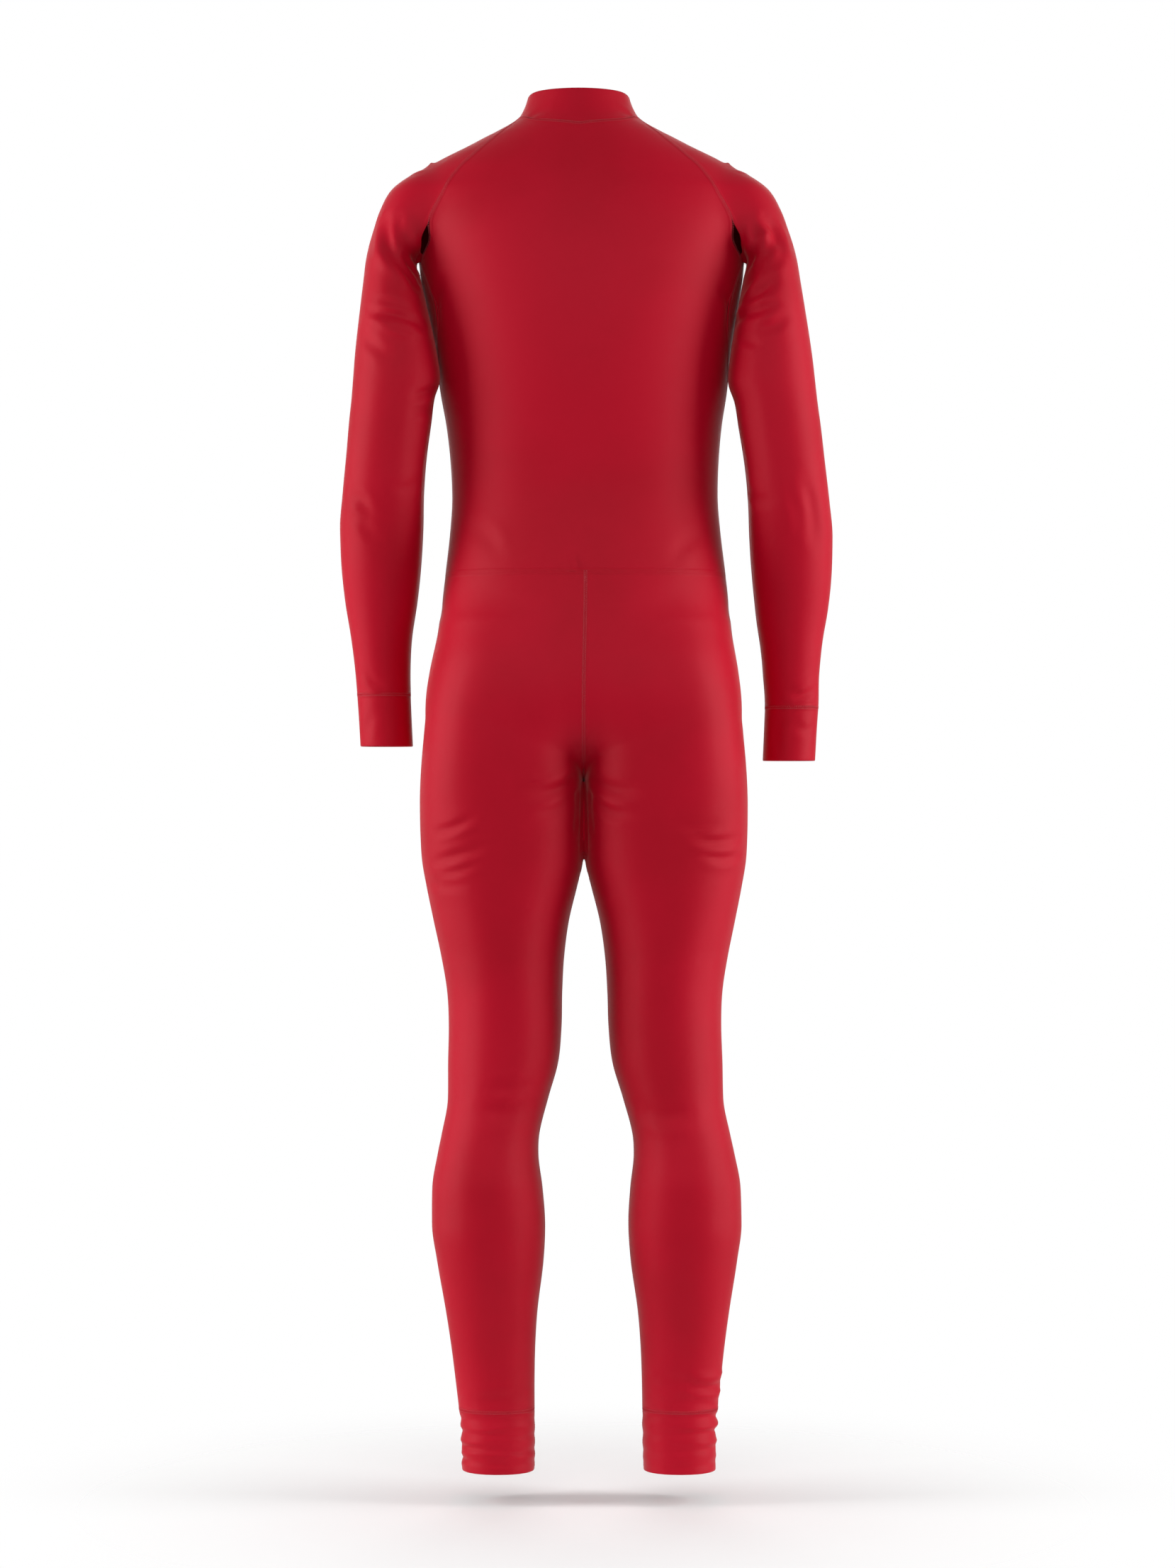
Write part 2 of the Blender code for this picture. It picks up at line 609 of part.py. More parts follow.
def build_zip(tape_look, metal):
    z = np.linspace(COLLAR_TOP[0][1] - 3, WAIST + 3, 22) * MM
    left_half = np.array([CHAIN_SLOPE * CHAIN_HALF, CHAIN_HALF, TAPE_HALF / 2, TAPE_HALF])
    across = np.concatenate([-left_half[::-1], left_half])
    behind = BAND + 3 * SEAM_GAP
    sunk = np.array([behind, behind, behind, CHAIN_SUNK, CHAIN_SUNK, behind, behind, behind])
    grid = np.stack([centre_front(z, x) for x in across], axis=1)
    normals = outwards(grid)
    outer = grid - normals * sunk[:, None]
    inner = grid - normals * (behind + TAPE_THICK)
    shell("zip_tape", np.array([outer, inner]), tape_look, len(z))
    width, out, up = SLIDER
    beside = centre_front(SLIDER_HEIGHT + np.linspace(-up, up, 5) / 2)
    face = beside[:, 1].min() - SEAM_GAP
    shift = column(LEAN, 1, SLIDER_HEIGHT / MM) * MM
    body = box("zip_slider", (shift, face - out / 2, SLIDER_HEIGHT), (width, out, up), metal, SLIDER_ROUND)
    pin_y, pin_z = face - out - PIN_OUT, SLIDER_HEIGHT + PIN_UP
    ear_y = face - out + EAR_SUNK - (EAR_RISE + 2 * EAR_SUNK) / 2
    for side in (-1, 1):
        place = (shift + side * (EAR_INNER + EAR_OUTER) / 2, ear_y, pin_z)
        size = (EAR_OUTER - EAR_INNER, EAR_RISE + 2 * EAR_SUNK, EAR_LONG)
        join(body, box("ear", place, size, metal, EAR_ROUND))
    join(body, rod("pin", (shift, pin_y, pin_z), PIN_RADIUS, 2 * (EAR_OUTER - EAR_ROUND), metal))
    tab = rod("zip_pull", (shift, pin_y, pin_z), EYE_RADIUS, 2 * TAB_HALF, metal)
    strip = (shift, pin_y, pin_z - TAB_LENGTH / 2 - EYE_HOLE)
    join(tab, box("strip", strip, (2 * TAB_HALF, TAB_THICK, TAB_LENGTH - EYE_HOLE), metal, TAB_ROUND))
    join(tab, rod("eye", (shift, pin_y, pin_z), EYE_HOLE, 3 * TAB_HALF, metal), "DIFFERENCE")


def box(name, place, size, look, rounding):
    bpy.ops.mesh.primitive_cube_add(size=1, location=place)
    made = bpy.context.object
    made.name, made.data.name = name, name
    made.scale = size
    bpy.ops.object.transform_apply(location=False, rotation=False, scale=True)
    bevel = made.modifiers.new("rounding", "BEVEL")
    bevel.width, bevel.segments = rounding, 2
    return taken_in(made, look)


def rod(name, place, radius, length, look):
    """A round bar along X."""
    bpy.ops.mesh.primitive_cylinder_add(
        vertices=20, radius=radius, depth=length, location=place, rotation=(0, math.pi / 2, 0)
    )
    made = bpy.context.object
    made.name, made.data.name = name, name
    return taken_in(made, look)


def taken_in(made, look):
    for holder in list(made.users_collection):
        holder.objects.unlink(made)
    SUIT.objects.link(made)
    made.data.materials.append(look)
    return made


def join(body, other, operation="UNION"):
    """Unites a helper with a body, or cuts it out, and hides the helper."""
    change = body.modifiers.new(other.name, "BOOLEAN")
    change.operation, change.object = operation, other
    other.hide_render = True
    other.display_type = "WIRE"
    SUIT.objects.unlink(other)
    CUTTERS.objects.link(other)


def main():
    knit = material("red_knit", (0.50, 0.008, 0.03), 0.55)
    tape = material("zip_tape_red", (0.42, 0.008, 0.03), 0.6)
    metal = material("slider_enamel", (0.45, 0.01, 0.03), 0.35, 0.2)
    seams = raglan_seams()
    build_trunk(seams, knit)
    build_sleeves(seams, knit)
    build_legs(knit)
    build_collar(knit)
    build_zip(tape, metal)


clear_scene()
SUIT = bpy.data.collections.new("ski_suit")
CUTTERS = bpy.data.collections.new("cutters")
for group in (SUIT, CUTTERS):
    bpy.context.scene.collection.children.link(group)
main()
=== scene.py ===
"""Looks of the cross-country ski suit: stretch knit filled out as if worn, flat seams and a front zip.

Sizes are in millimetres where a name or a table says mm, and in metres elsewhere.
"""

import math

import bmesh
import bpy
import numpy as np
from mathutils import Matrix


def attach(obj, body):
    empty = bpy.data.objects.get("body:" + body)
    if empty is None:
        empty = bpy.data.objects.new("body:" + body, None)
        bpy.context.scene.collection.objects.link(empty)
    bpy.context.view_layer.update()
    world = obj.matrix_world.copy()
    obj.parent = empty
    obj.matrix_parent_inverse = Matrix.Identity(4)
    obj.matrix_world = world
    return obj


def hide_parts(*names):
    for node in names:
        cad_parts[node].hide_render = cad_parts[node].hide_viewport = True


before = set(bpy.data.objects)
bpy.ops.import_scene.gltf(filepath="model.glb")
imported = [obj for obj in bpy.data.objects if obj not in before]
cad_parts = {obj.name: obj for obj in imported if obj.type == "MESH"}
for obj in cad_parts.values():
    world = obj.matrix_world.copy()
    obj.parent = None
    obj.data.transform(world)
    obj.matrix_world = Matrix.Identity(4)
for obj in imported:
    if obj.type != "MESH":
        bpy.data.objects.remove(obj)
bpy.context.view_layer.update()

# The studio: the suit hangs in a white room, seen square from behind at its own height.
# Two tall soft lights stand beside it, and a wide one on the camera's side and on the far
# side, so each form is even in the middle and bright along its rims.
VIEW_DISTANCE = 4.5
VIEW_CENTRE = (-0.0042, -0.716)
VIEW_HEIGHT = 1.7059
SENSOR = 36.0
FLOOR_HEIGHT = -1.497
FLOOR_RADIUS = 2.4
room = bpy.context.scene.collection
lens = bpy.data.cameras.new("camera")
lens.sensor_fit = "VERTICAL"
lens.sensor_height = lens.sensor_width = SENSOR
lens.lens = SENSOR * VIEW_DISTANCE / VIEW_HEIGHT
camera = bpy.data.objects.new("camera", lens)
camera.location = (VIEW_CENTRE[0], VIEW_DISTANCE, VIEW_CENTRE[1])
camera.rotation_euler = (math.pi / 2, 0, math.pi)
room.objects.link(camera)
bpy.context.scene.camera = camera
bpy.context.scene.view_settings.view_transform = "Standard"

SOFT_LIGHTS = (  # x, y, z, aimed at height, width, height, watts
    (1.75, 0.30, -0.55, -0.70, 0.7, 2.3, 30),
    (-1.75, 0.30, -0.55, -0.70, 0.7, 2.3, 30),
    (0.0, 3.6, 0.9, -0.70, 2.6, 1.8, 25),
    (0.0, -3.2, 0.4, -0.70, 2.4, 2.0, 25),
)
for x, y, z, aim, wide, tall, watts in SOFT_LIGHTS:
    glow = bpy.data.lights.new("soft_light", "AREA")
    glow.shape, glow.size, glow.size_y, glow.energy = "RECTANGLE", wide, tall, watts
    stand = bpy.data.objects.new("soft_light", glow)
    stand.location = (x, y, z)
    away = stand.location.copy()
    away.z -= aim
    stand.rotation_euler = away.to_track_quat("Z", "Y").to_euler()
    room.objects.link(stand)


def link(tree, pairs):
    """Joins sockets of a node tree, each pair from an output to an input."""
    for source, target in pairs:
        tree.links.new(source, target)


sky = bpy.data.worlds.new("white_room")
sky.use_nodes = True
tree = sky.node_tree
backdrop = tree.nodes["Background"]
backdrop.inputs["Color"].default_value = (1, 1, 1, 1)
seen = tree.nodes.new("ShaderNodeLightPath")
strength = tree.nodes.new("ShaderNodeMapRange")
strength.inputs["To Min"].default_value = 0.40
strength.inputs["To Max"].default_value = 1.0
link(tree, [
    (seen.outputs["Is Camera Ray"], strength.inputs["Value"]),
    (strength.outputs["Result"], backdrop.inputs["Strength"]),
])
bpy.context.scene.world = sky

shape = bmesh.new()
bmesh.ops.create_circle(shape, cap_ends=True, segments=96, radius=FLOOR_RADIUS)
bmesh.ops.translate(shape, verts=shape.verts, vec=(0, 0, FLOOR_HEIGHT))
floor_mesh = bpy.data.meshes.new("floor")
shape.to_mesh(floor_mesh)
shape.free()
floor = bpy.data.objects.new("floor", floor_mesh)
room.objects.link(floor)
paper = bpy.data.materials.new("white_paper")
paper.use_nodes = True
tree = paper.node_tree
tree.nodes["Principled BSDF"].inputs["Base Color"].default_value = (0.93, 0.93, 0.93, 1)
tree.nodes["Principled BSDF"].inputs["Roughness"].default_value = 0.9
where = tree.nodes.new("ShaderNodeTexCoord")
middle = tree.nodes.new("ShaderNodeVectorMath")
middle.operation = "MULTIPLY"
middle.inputs[1].default_value = (1, 1, 0)
reach = tree.nodes.new("ShaderNodeVectorMath")
reach.operation = "LENGTH"
fading = tree.nodes.new("ShaderNodeMapRange")
fading.interpolation_type = "SMOOTHSTEP"
fading.inputs["From Min"].default_value = 0.15
fading.inputs["From Max"].default_value = 0.75
clear = tree.nodes.new("ShaderNodeBsdfTransparent")
blend = tree.nodes.new("ShaderNodeMixShader")
link(tree, [
    (where.outputs["Object"], middle.inputs[0]),
    (middle.outputs[0], reach.inputs[0]),
    (reach.outputs["Value"], fading.inputs["Value"]),
    (fading.outputs["Result"], blend.inputs["Fac"]),
    (tree.nodes["Principled BSDF"].outputs[0], blend.inputs[1]),
    (clear.outputs[0], blend.inputs[2]),
    (blend.outputs[0], tree.nodes["Material Output"].inputs["Surface"]),
])
floor_mesh.materials.append(paper)

# The back: one panel of smooth stretch knit from the collar to the waist, cut on a raglan
# line at each shoulder. It is drawn tight over the form that the whole suit fills out to:
# three tapered tubes, for the trunk, an arm and a leg, that flow into each other.
MM = 0.001
KNIT = 1.1 * MM
SEAM_GAP = 0.02 * MM
UNDERARM, WAIST, FORK = -150, -489, -709
CUFF_SEAM, CUFF_HEM = -618.5, -674
ANKLE_SEAM, ANKLE_HEM = -1395, -1461
RIGHT_ARM_LONGER = 1.03
NECK_SEAM = (  # angle from the side, degrees, back positive; height, mm
    (-90, -48), (-60, -30), (-38, -8), (-20, 3), (0, 8), (20, 8), (50, 1), (90, -5),
)
TRUNK = (  # height, half width, back, front, squareness; mm
    (60, 52, 28, -72, 2.0), (35, 55, 37, -75, 2.0), (18, 61, 43, -79, 2.0),
    (9, 67, 47, -80, 2.0), (0, 80, 52, -81, 2.0), (-9, 97, 57, -82, 2.0),
    (-17, 112, 61, -82, 2.0), (-36, 149, 70, -84, 2.0), (-55, 178, 78, -89, 2.0),
    (-75, 194, 85, -96, 2.1), (-100, 191, 92, -104, 2.2), (-135, 179, 99, -113, 2.25),
    (-165, 175.5, 102, -118, 2.2), (-200, 169.5, 103, -120, 2.2), (-250, 161, 101, -119, 2.2),
    (-290, 156, 97, -116, 2.2), (-325, 150, 92, -112, 2.25), (-364, 146, 87, -108, 2.3),
    (-403, 144.5, 84, -105, 2.3), (-441, 147, 86, -104, 2.3), (-489, 152.5, 93, -104, 2.3),
    (-518, 155.5, 100, -105, 2.3), (-557, 156.5, 108, -105, 2.3), (-595, 159.5, 112, -103, 2.3),
    (-630, 155, 108, -97, 2.3), (-655, 134, 96, -87, 2.2), (-675, 98, 76, -70, 2.1),
    (-690, 55, 44, -40, 2.0), (-699, 14, 12, -10, 2.0),
)
ARM = (  # height, inner side, outer side, back, front; mm
    (-50, 160, 164, 6, -10), (-56, 150, 181, 24, -28), (-65, 145, 197, 36, -40),
    (-75, 141, 208, 43, -47), (-94, 140, 218.5, 51, -53), (-113, 145, 225, 55, -54),
    (-132, 160, 230.5, 60, -51), (-150, 179, 234, 67, -45), (-171, 174.3, 236.5, 74, -38),
    (-200, 167.9, 240, 82, -29), (-250, 157.9, 246, 87, -19), (-278, 154.6, 248.5, 88, -15),
    (-300, 161, 250.5, 87, -13), (-325, 164.6, 253.5, 85, -12), (-364, 170.4, 257.5, 81, -12),
    (-403, 174, 262, 76, -18), (-441, 175.5, 265.7, 65, -28), (-480, 178.5, 265, 52, -37),
    (-518, 183, 261.5, 36, -45), (-557, 188.6, 255, 21, -50), (-595, 190, 250, 7, -56),
    (-634, 189, 247, -3, -62), (-674, 187.5, 245, -10, -70),
)
RIGHT_ARM_OUT = (  # height, how far the right arm stands off further; mm
    (-150, 0), (-340, 2), (-530, 2.5), (-580, 5.5), (-620, 9), (-700, 9),
)
ARM_SQUARENESS = 2.2
THIGH_SQUARENESS = ((-540, 2.9), (-720, 2.8), (-800, 2.5), (-900, 2.15))
LEG = (  # height, inner side, outer side, back, front; mm
    (-540, 30, 140, 80, -84), (-580, 14, 154.5, 102, -94), (-634, 2, 169.5, 110, -97),
    (-672, 0.6, 174, 108, -96), (-709, 0.5, 177, 103, -95), (-740, 0.5, 178, 97, -94),
    (-775, 0.5, 177.5, 91, -92), (-800, 1.4, 176, 87, -91), (-827, 7.7, 171.5, 83, -90),
    (-865, 17, 164, 76, -88), (-904, 22.4, 156, 69, -85), (-942, 24.7, 150, 63, -80),
    (-981, 25.8, 148.5, 58, -74), (-1019, 29.7, 149.5, 56, -69), (-1058, 40.9, 150, 55, -65),
    (-1097, 50.9, 157, 60, -59), (-1116, 52, 161, 64, -56), (-1154, 47.8, 167.4, 70, -52),
    (-1193, 45.3, 168, 70, -48), (-1232, 47.4, 163, 65, -44), (-1289, 54.8, 153.8, 52, -40),
    (-1328, 57.5, 148.4, 43, -38), (-1367, 58.6, 144, 37, -38), (-1395, 58.8, 141, 35, -39),
    (-1424, 59, 138.3, 35, -41), (-1461, 59.4, 138, 36, -43),
)
# How far two forms flow together, by height; mm
ARM_FLOW = ((-60, 24), (-110, 22), (-140, 7), (-149, 3), (-158, 0.4))
LEG_FLOW = ((-560, 34), (-650, 36), (-692, 20), (-706, 8), (-716, 0.4))
SEAT_FLOW = ((-560, 34), (-700, 32), (-745, 8), (-780, 0.4))
LEAN = (  # height, how far the stance leans to the suit's left; mm
    (35, 5.5), (0, 5), (-290, 0), (-500, -2), (-634, 0), (-980, -1.5), (-1289, -4.3), (-1461, -5.8),
)
RAGLAN = (  # back seam x, z; front seam x, z; shoulder ridge x, z; hub inside x, z; mm
    (84, -9, 64, -27, 92, -6, 78, -52), (98, -22, 80, -45, 118, -19, 95, -64),
    (115, -38, 97, -61, 146, -33, 112, -76), (131.5, -54, 114, -77, 174, -48, 128, -88),
    (149, -82, 132, -97, 203, -70, 145, -104), (162, -108, 149, -118, 219, -99, 160, -120),
    (172, -131, 164, -137, 228, -130, 180, -136),
)
SHOULDER_HUB = (118, -4, -115)
RAGLAN_AT_NECK = (16, -38)
SIDE_SEAM = (  # height, angle behind the side, degrees
    (-150, 8), (-175, 13), (-205, 16), (-240, 12), (-275, 6), (-310, 2), (-489, 0),
)
SIDE_ROWS = (-175, -205, -240, -275, -310, -345, -385, -425, -458, WAIST)
HALF_PANEL = 8
FINER = (8, 6)


def column(table, index, at):
    """A table's column as a smooth curve over its first one, with no overshoot between rows."""
    rows = np.array(sorted(table), float)
    x, y = rows[:, 0], rows[:, index]
    step = np.diff(x)
    slope = np.diff(y) / step
    tangent = np.concatenate([[slope[0]], (slope[1:] + slope[:-1]) / 2, [slope[-1]]])
    tangent[1:-1][slope[1:] * slope[:-1] <= 0] = 0
    limit = 3 * np.minimum(np.abs(np.append(slope, slope[-1])), np.abs(np.insert(slope, 0, slope[0])))
    tangent = np.clip(tangent, -limit, limit)
    at = np.clip(at, x[0], x[-1])
    i = np.clip(np.searchsorted(x, at) - 1, 0, len(x) - 2)
    t = (at - x[i]) / step[i]
    rise = y[i] * (1 + 2 * t) * (1 - t) ** 2 + y[i + 1] * t**2 * (3 - 2 * t)
    return rise + step[i] * t * (1 - t) * (tangent[i] * (1 - t) - tangent[i + 1] * t)


def tube(x, y, middle, half_width, back, front, square):
    """Distance outwards from a tube whose level sections are rounded rectangles, mm."""
    across, along = x - middle, y - (back + front) / 2
    half_depth = (back - front) / 2
    share = np.abs(across / half_width) ** square + np.abs(along / half_depth) ** square
    share = np.maximum(share ** (1 / square), 1e-6)
    return (share - 1) * np.hypot(across, along) / share


def flow(first, second, width):
    """Two forms joined, flowing together over a width."""
    share = np.clip(0.5 + 0.5 * (second - first) / width, 0, 1)
    return second * (1 - share) + first * share - width * share * (1 - share)


def arm_form(points):
    """Distance outwards from the arms alone, mm, for points with the lean taken out."""
    x, y, z = np.moveaxis(np.asarray(points) / MM, -1, 0)
    inner, outer, back, front = (column(ARM, i, z) for i in (1, 2, 3, 4))
    arm = tube(np.abs(x), y, (inner + outer) / 2, (outer - inner) / 2, back, front, ARM_SQUARENESS)
    return arm + np.maximum(z - ARM[0][0], 0)


def body_form(points):
    """Distance outwards from the trunk and legs alone."""
    x, y, z = np.moveaxis(np.asarray(points) / MM, -1, 0)
    trunk = tube(x, y, 0, *(column(TRUNK, i, z) for i in (1, 2, 3, 4)))
    trunk = trunk + np.maximum(TRUNK[-1][0] - z, 0) * 3
    inner, outer, back, front = (column(LEG, i, z) for i in (1, 2, 3, 4))
    square = column(THIGH_SQUARENESS, 1, z)
    near, far = (
        tube(side * np.abs(x), y, (inner + outer) / 2, (outer - inner) / 2, back, front, square)
        for side in (1, -1)
    )
    legs = flow(near, far, column(LEG_FLOW, 1, z)) + np.maximum(z - LEG[0][0], 0)
    return flow(trunk, legs, column(SEAT_FLOW, 1, z))


def figure(points):
    """Distance outwards from the whole filled-out form."""
    height = np.asarray(points)[..., 2] / MM
    return flow(body_form(points), arm_form(points), column(ARM_FLOW, 1, height))


def cast(start, way, form=figure, far=0.4, steps=130):
    """Where rays from inside a form first leave it."""
    start, way = np.broadcast_arrays(np.asarray(start, float), np.asarray(way, float))
    way = way / np.linalg.norm(way, axis=-1, keepdims=True)
    ahead = np.linspace(0, far, steps)
    outside = form(start[..., None, :] + way[..., None, :] * ahead[:, None]) > 0
    outside[..., 0] = False
    first = np.maximum(outside.argmax(axis=-1), 1)
    low, high = ahead[first - 1], ahead[first]
    for _ in range(24):
        half = (low + high) / 2
        beyond = form(start + way * half[..., None]) > 0
        low, high = np.where(beyond, low, half), np.where(beyond, half, high)
    return start + way * ((low + high) / 2)[..., None]


def outwards(points, form=figure, step=0.4 * MM):
    """Unit normals of a form."""
    slopes = [form(points + step * axis) - form(points - step * axis) for axis in np.eye(3)]
    slopes = np.stack(slopes, axis=-1)
    return slopes / np.linalg.norm(slopes, axis=-1, keepdims=True)


def trunk_axis(z):
    """The middle of the trunk at a height in metres, as x, y, z."""
    middle = (column(TRUNK, 2, z / MM) + column(TRUNK, 3, z / MM)) / 2 * MM
    return np.stack([np.zeros_like(middle), middle, z + np.zeros_like(middle)], axis=-1)


def around_trunk(angle, z, form=figure):
    """Points on the trunk at angles from the side, back positive, degrees; heights in metres."""
    angle, z = np.broadcast_arrays(np.radians(angle), z)
    way = np.stack([np.cos(angle), np.sin(angle), np.zeros_like(angle)], axis=-1)
    return cast(trunk_axis(z), way, form)


def trunk_angle(point):
    axis = trunk_axis(point[..., 2])
    return np.degrees(np.arctan2(point[..., 1] - axis[..., 1], point[..., 0]))


def neck_point(angle):
    angle = np.asarray(angle, float)
    return around_trunk(angle, column(NECK_SEAM, 1, angle) * MM)


def raglan_seams():
    """The left sleeve's back and front seam, neck to underarm, its top line and the hubs inside."""
    table = np.array(RAGLAN) * MM
    inside = np.array(SHOULDER_HUB) * MM
    deep = np.full(len(table), inside[1])
    back = cast(np.stack([table[:, 0], deep, table[:, 1]], -1), (0, 1, 0))
    front = cast(np.stack([table[:, 2], deep, table[:, 3]], -1), (0, -1, 0))
    ridge = cast(inside, np.stack([table[:, 4], deep, table[:, 5]], -1) - inside)
    hub = np.stack([table[:, 6], (back[:, 1] + front[:, 1]) / 2, table[:, 7]], -1)
    underarm = around_trunk(column(SIDE_SEAM, 1, UNDERARM), UNDERARM * MM)
    ends = [neck_point(angle) for angle in RAGLAN_AT_NECK]
    return np.vstack([ends[0], back, underarm]), np.vstack([ends[1], front, underarm]), ridge, hub


def trunk_panel(seam, neck_angle, far_end):
    """Half of an upper panel: rows from the neck to the waist, columns from its seam to far_end."""
    share = np.linspace(0, 1, HALF_PANEL + 1)
    low = np.array(SIDE_ROWS, float)
    start = np.concatenate([trunk_angle(seam), column(SIDE_SEAM, 1, low)])
    height = np.concatenate([seam[:, 2], low * MM])
    angle = start[:, None] + (far_end - start[:, None]) * share
    dip = column(NECK_SEAM, 1, angle[0]) - column(NECK_SEAM, 1, neck_angle)
    fade = np.clip(1 - np.arange(len(height)) / (len(seam) - 1), 0, 1) ** 1.5
    z = height[:, None] + fade[:, None] * dip * MM
    upper, lower = slice(None, len(seam)), slice(len(seam), None)
    low_rows = around_trunk(angle[lower], z[lower], body_form)
    return np.concatenate([around_trunk(angle[upper], z[upper]), low_rows])


def smoother(points, times, corner=0):
    """Rows of points with others between them on a smooth curve, which may turn sharply at one row."""
    if corner:
        first, second = smoother(points[: corner + 1], times), smoother(points[corner:], times)
        return np.concatenate([first, second[1:]])
    ends = np.concatenate([[2 * points[0] - points[1]], points, [2 * points[-1] - points[-2]]])
    t = np.arange(times).reshape((1, times) + (1,) * (points.ndim - 1)) / times
    a, b, c, d = (ends[i : len(points) - 1 + i][:, None] for i in range(4))
    run = b + t / 2 * (c - a + t * (2 * a - 5 * b + 4 * c - d + t * (3 * b - a - 3 * c + d)))
    return np.concatenate([run.reshape((-1,) + points.shape[1:]), points[-1:]])


def drawn_tight(points, form=figure, rounds=6):
    """Points moved onto a form, in small steps along ways that even out its sharp creases."""
    for _ in range(rounds):
        points = points - outwards(points, form, MM) * np.clip(form(points), -2, 2)[..., None] * MM
    return points


def finer(grid, times, corner, below, sharp=(0, -1)):
    """A panel's grid with more rows and columns, its sharp sides turning at the corner row.

    The rows below the corner are drawn onto the form given for them.
    """
    rows = smoother(grid, times[0])
    for side in sharp:
        rows[:, side] = smoother(grid[:, side], times[0], corner)
    whole = np.swapaxes(smoother(np.swapaxes(rows, 0, 1), times[1]), 0, 1)
    turn = corner * times[0] + 1
    return np.concatenate([drawn_tight(whole[:turn]), drawn_tight(whole[turn:], below)])


def unit(ways):
    return ways / np.maximum(np.linalg.norm(ways, axis=-1, keepdims=True), 1e-12)


def lengths(grid, axis):
    """How far each point lies from the grid's first edge along an axis."""
    steps = np.linalg.norm(np.diff(grid, axis=axis), axis=-1)
    start = np.zeros_like(np.take(steps, [0], axis=axis))
    return np.concatenate([start, np.cumsum(steps, axis=axis)], axis=axis)


def placed(grid, side, arm=False):
    """A left grid leant over, or the right one made from it; the right arm is longer and stands off."""
    moved = grid.copy()
    if arm and side < 0:
        moved[..., 0] += column(RIGHT_ARM_OUT, 1, grid[..., 2] / MM) * MM
        moved[..., 2] += np.minimum(grid[..., 2] - UNDERARM * MM, 0) * (RIGHT_ARM_LONGER - 1)
    moved[..., 0] = moved[..., 0] * side + column(LEAN, 1, moved[..., 2] / MM) * MM
    return moved


def creased(grid, normals, creases):
    """Presses soft creases into a panel, each a trough with one fuller lip, along a curve on the cloth."""
    rise = np.zeros(grid.shape[:-1])
    for x1, z1, x2, z2, x3, z3, face, width, depth, lip in creases:
        marks = []
        for x, z in ((x1, z1), (x2, z2), (x3, z3)):
            off = np.hypot(grid[..., 0] / MM - x, grid[..., 2] / MM - z)
            off = off + np.where(normals[..., 1] * face > 0.02, 0, 1e3)
            marks.append(grid[np.unravel_index(off.argmin(), off.shape)])
        path = smoother(np.array(marks), 12)
        way = unit(np.gradient(path, axis=0))
        near = (np.abs(grid - path[len(path) // 2]) < 0.13).all(axis=-1)
        spots, out = grid[near], normals[near]
        gap = np.linalg.norm(spots[:, None] - path, axis=-1)
        nearest = gap.argmin(axis=1)
        gap = gap.min(axis=1) / MM
        side = np.sign(np.sum(np.cross(way[nearest], out) * (spots - path[nearest]), axis=-1))
        along = nearest / (len(path) - 1)
        taper = np.sin(np.pi * np.clip(0.06 + 0.88 * along, 0, 1)) ** 0.8
        past = np.maximum(gap - width, 0) * ((along == 0) | (along == 1))
        taper = taper * np.exp(-((past / width) ** 2))
        trough = np.exp(-((gap / width) ** 2))
        ridge = np.exp(-(((gap - 1.75 * width) / (0.85 * width)) ** 2)) * np.where(side > 0, lip, lip * 0.3)
        rise[near] += depth * taper * (ridge - trough)
    return rise


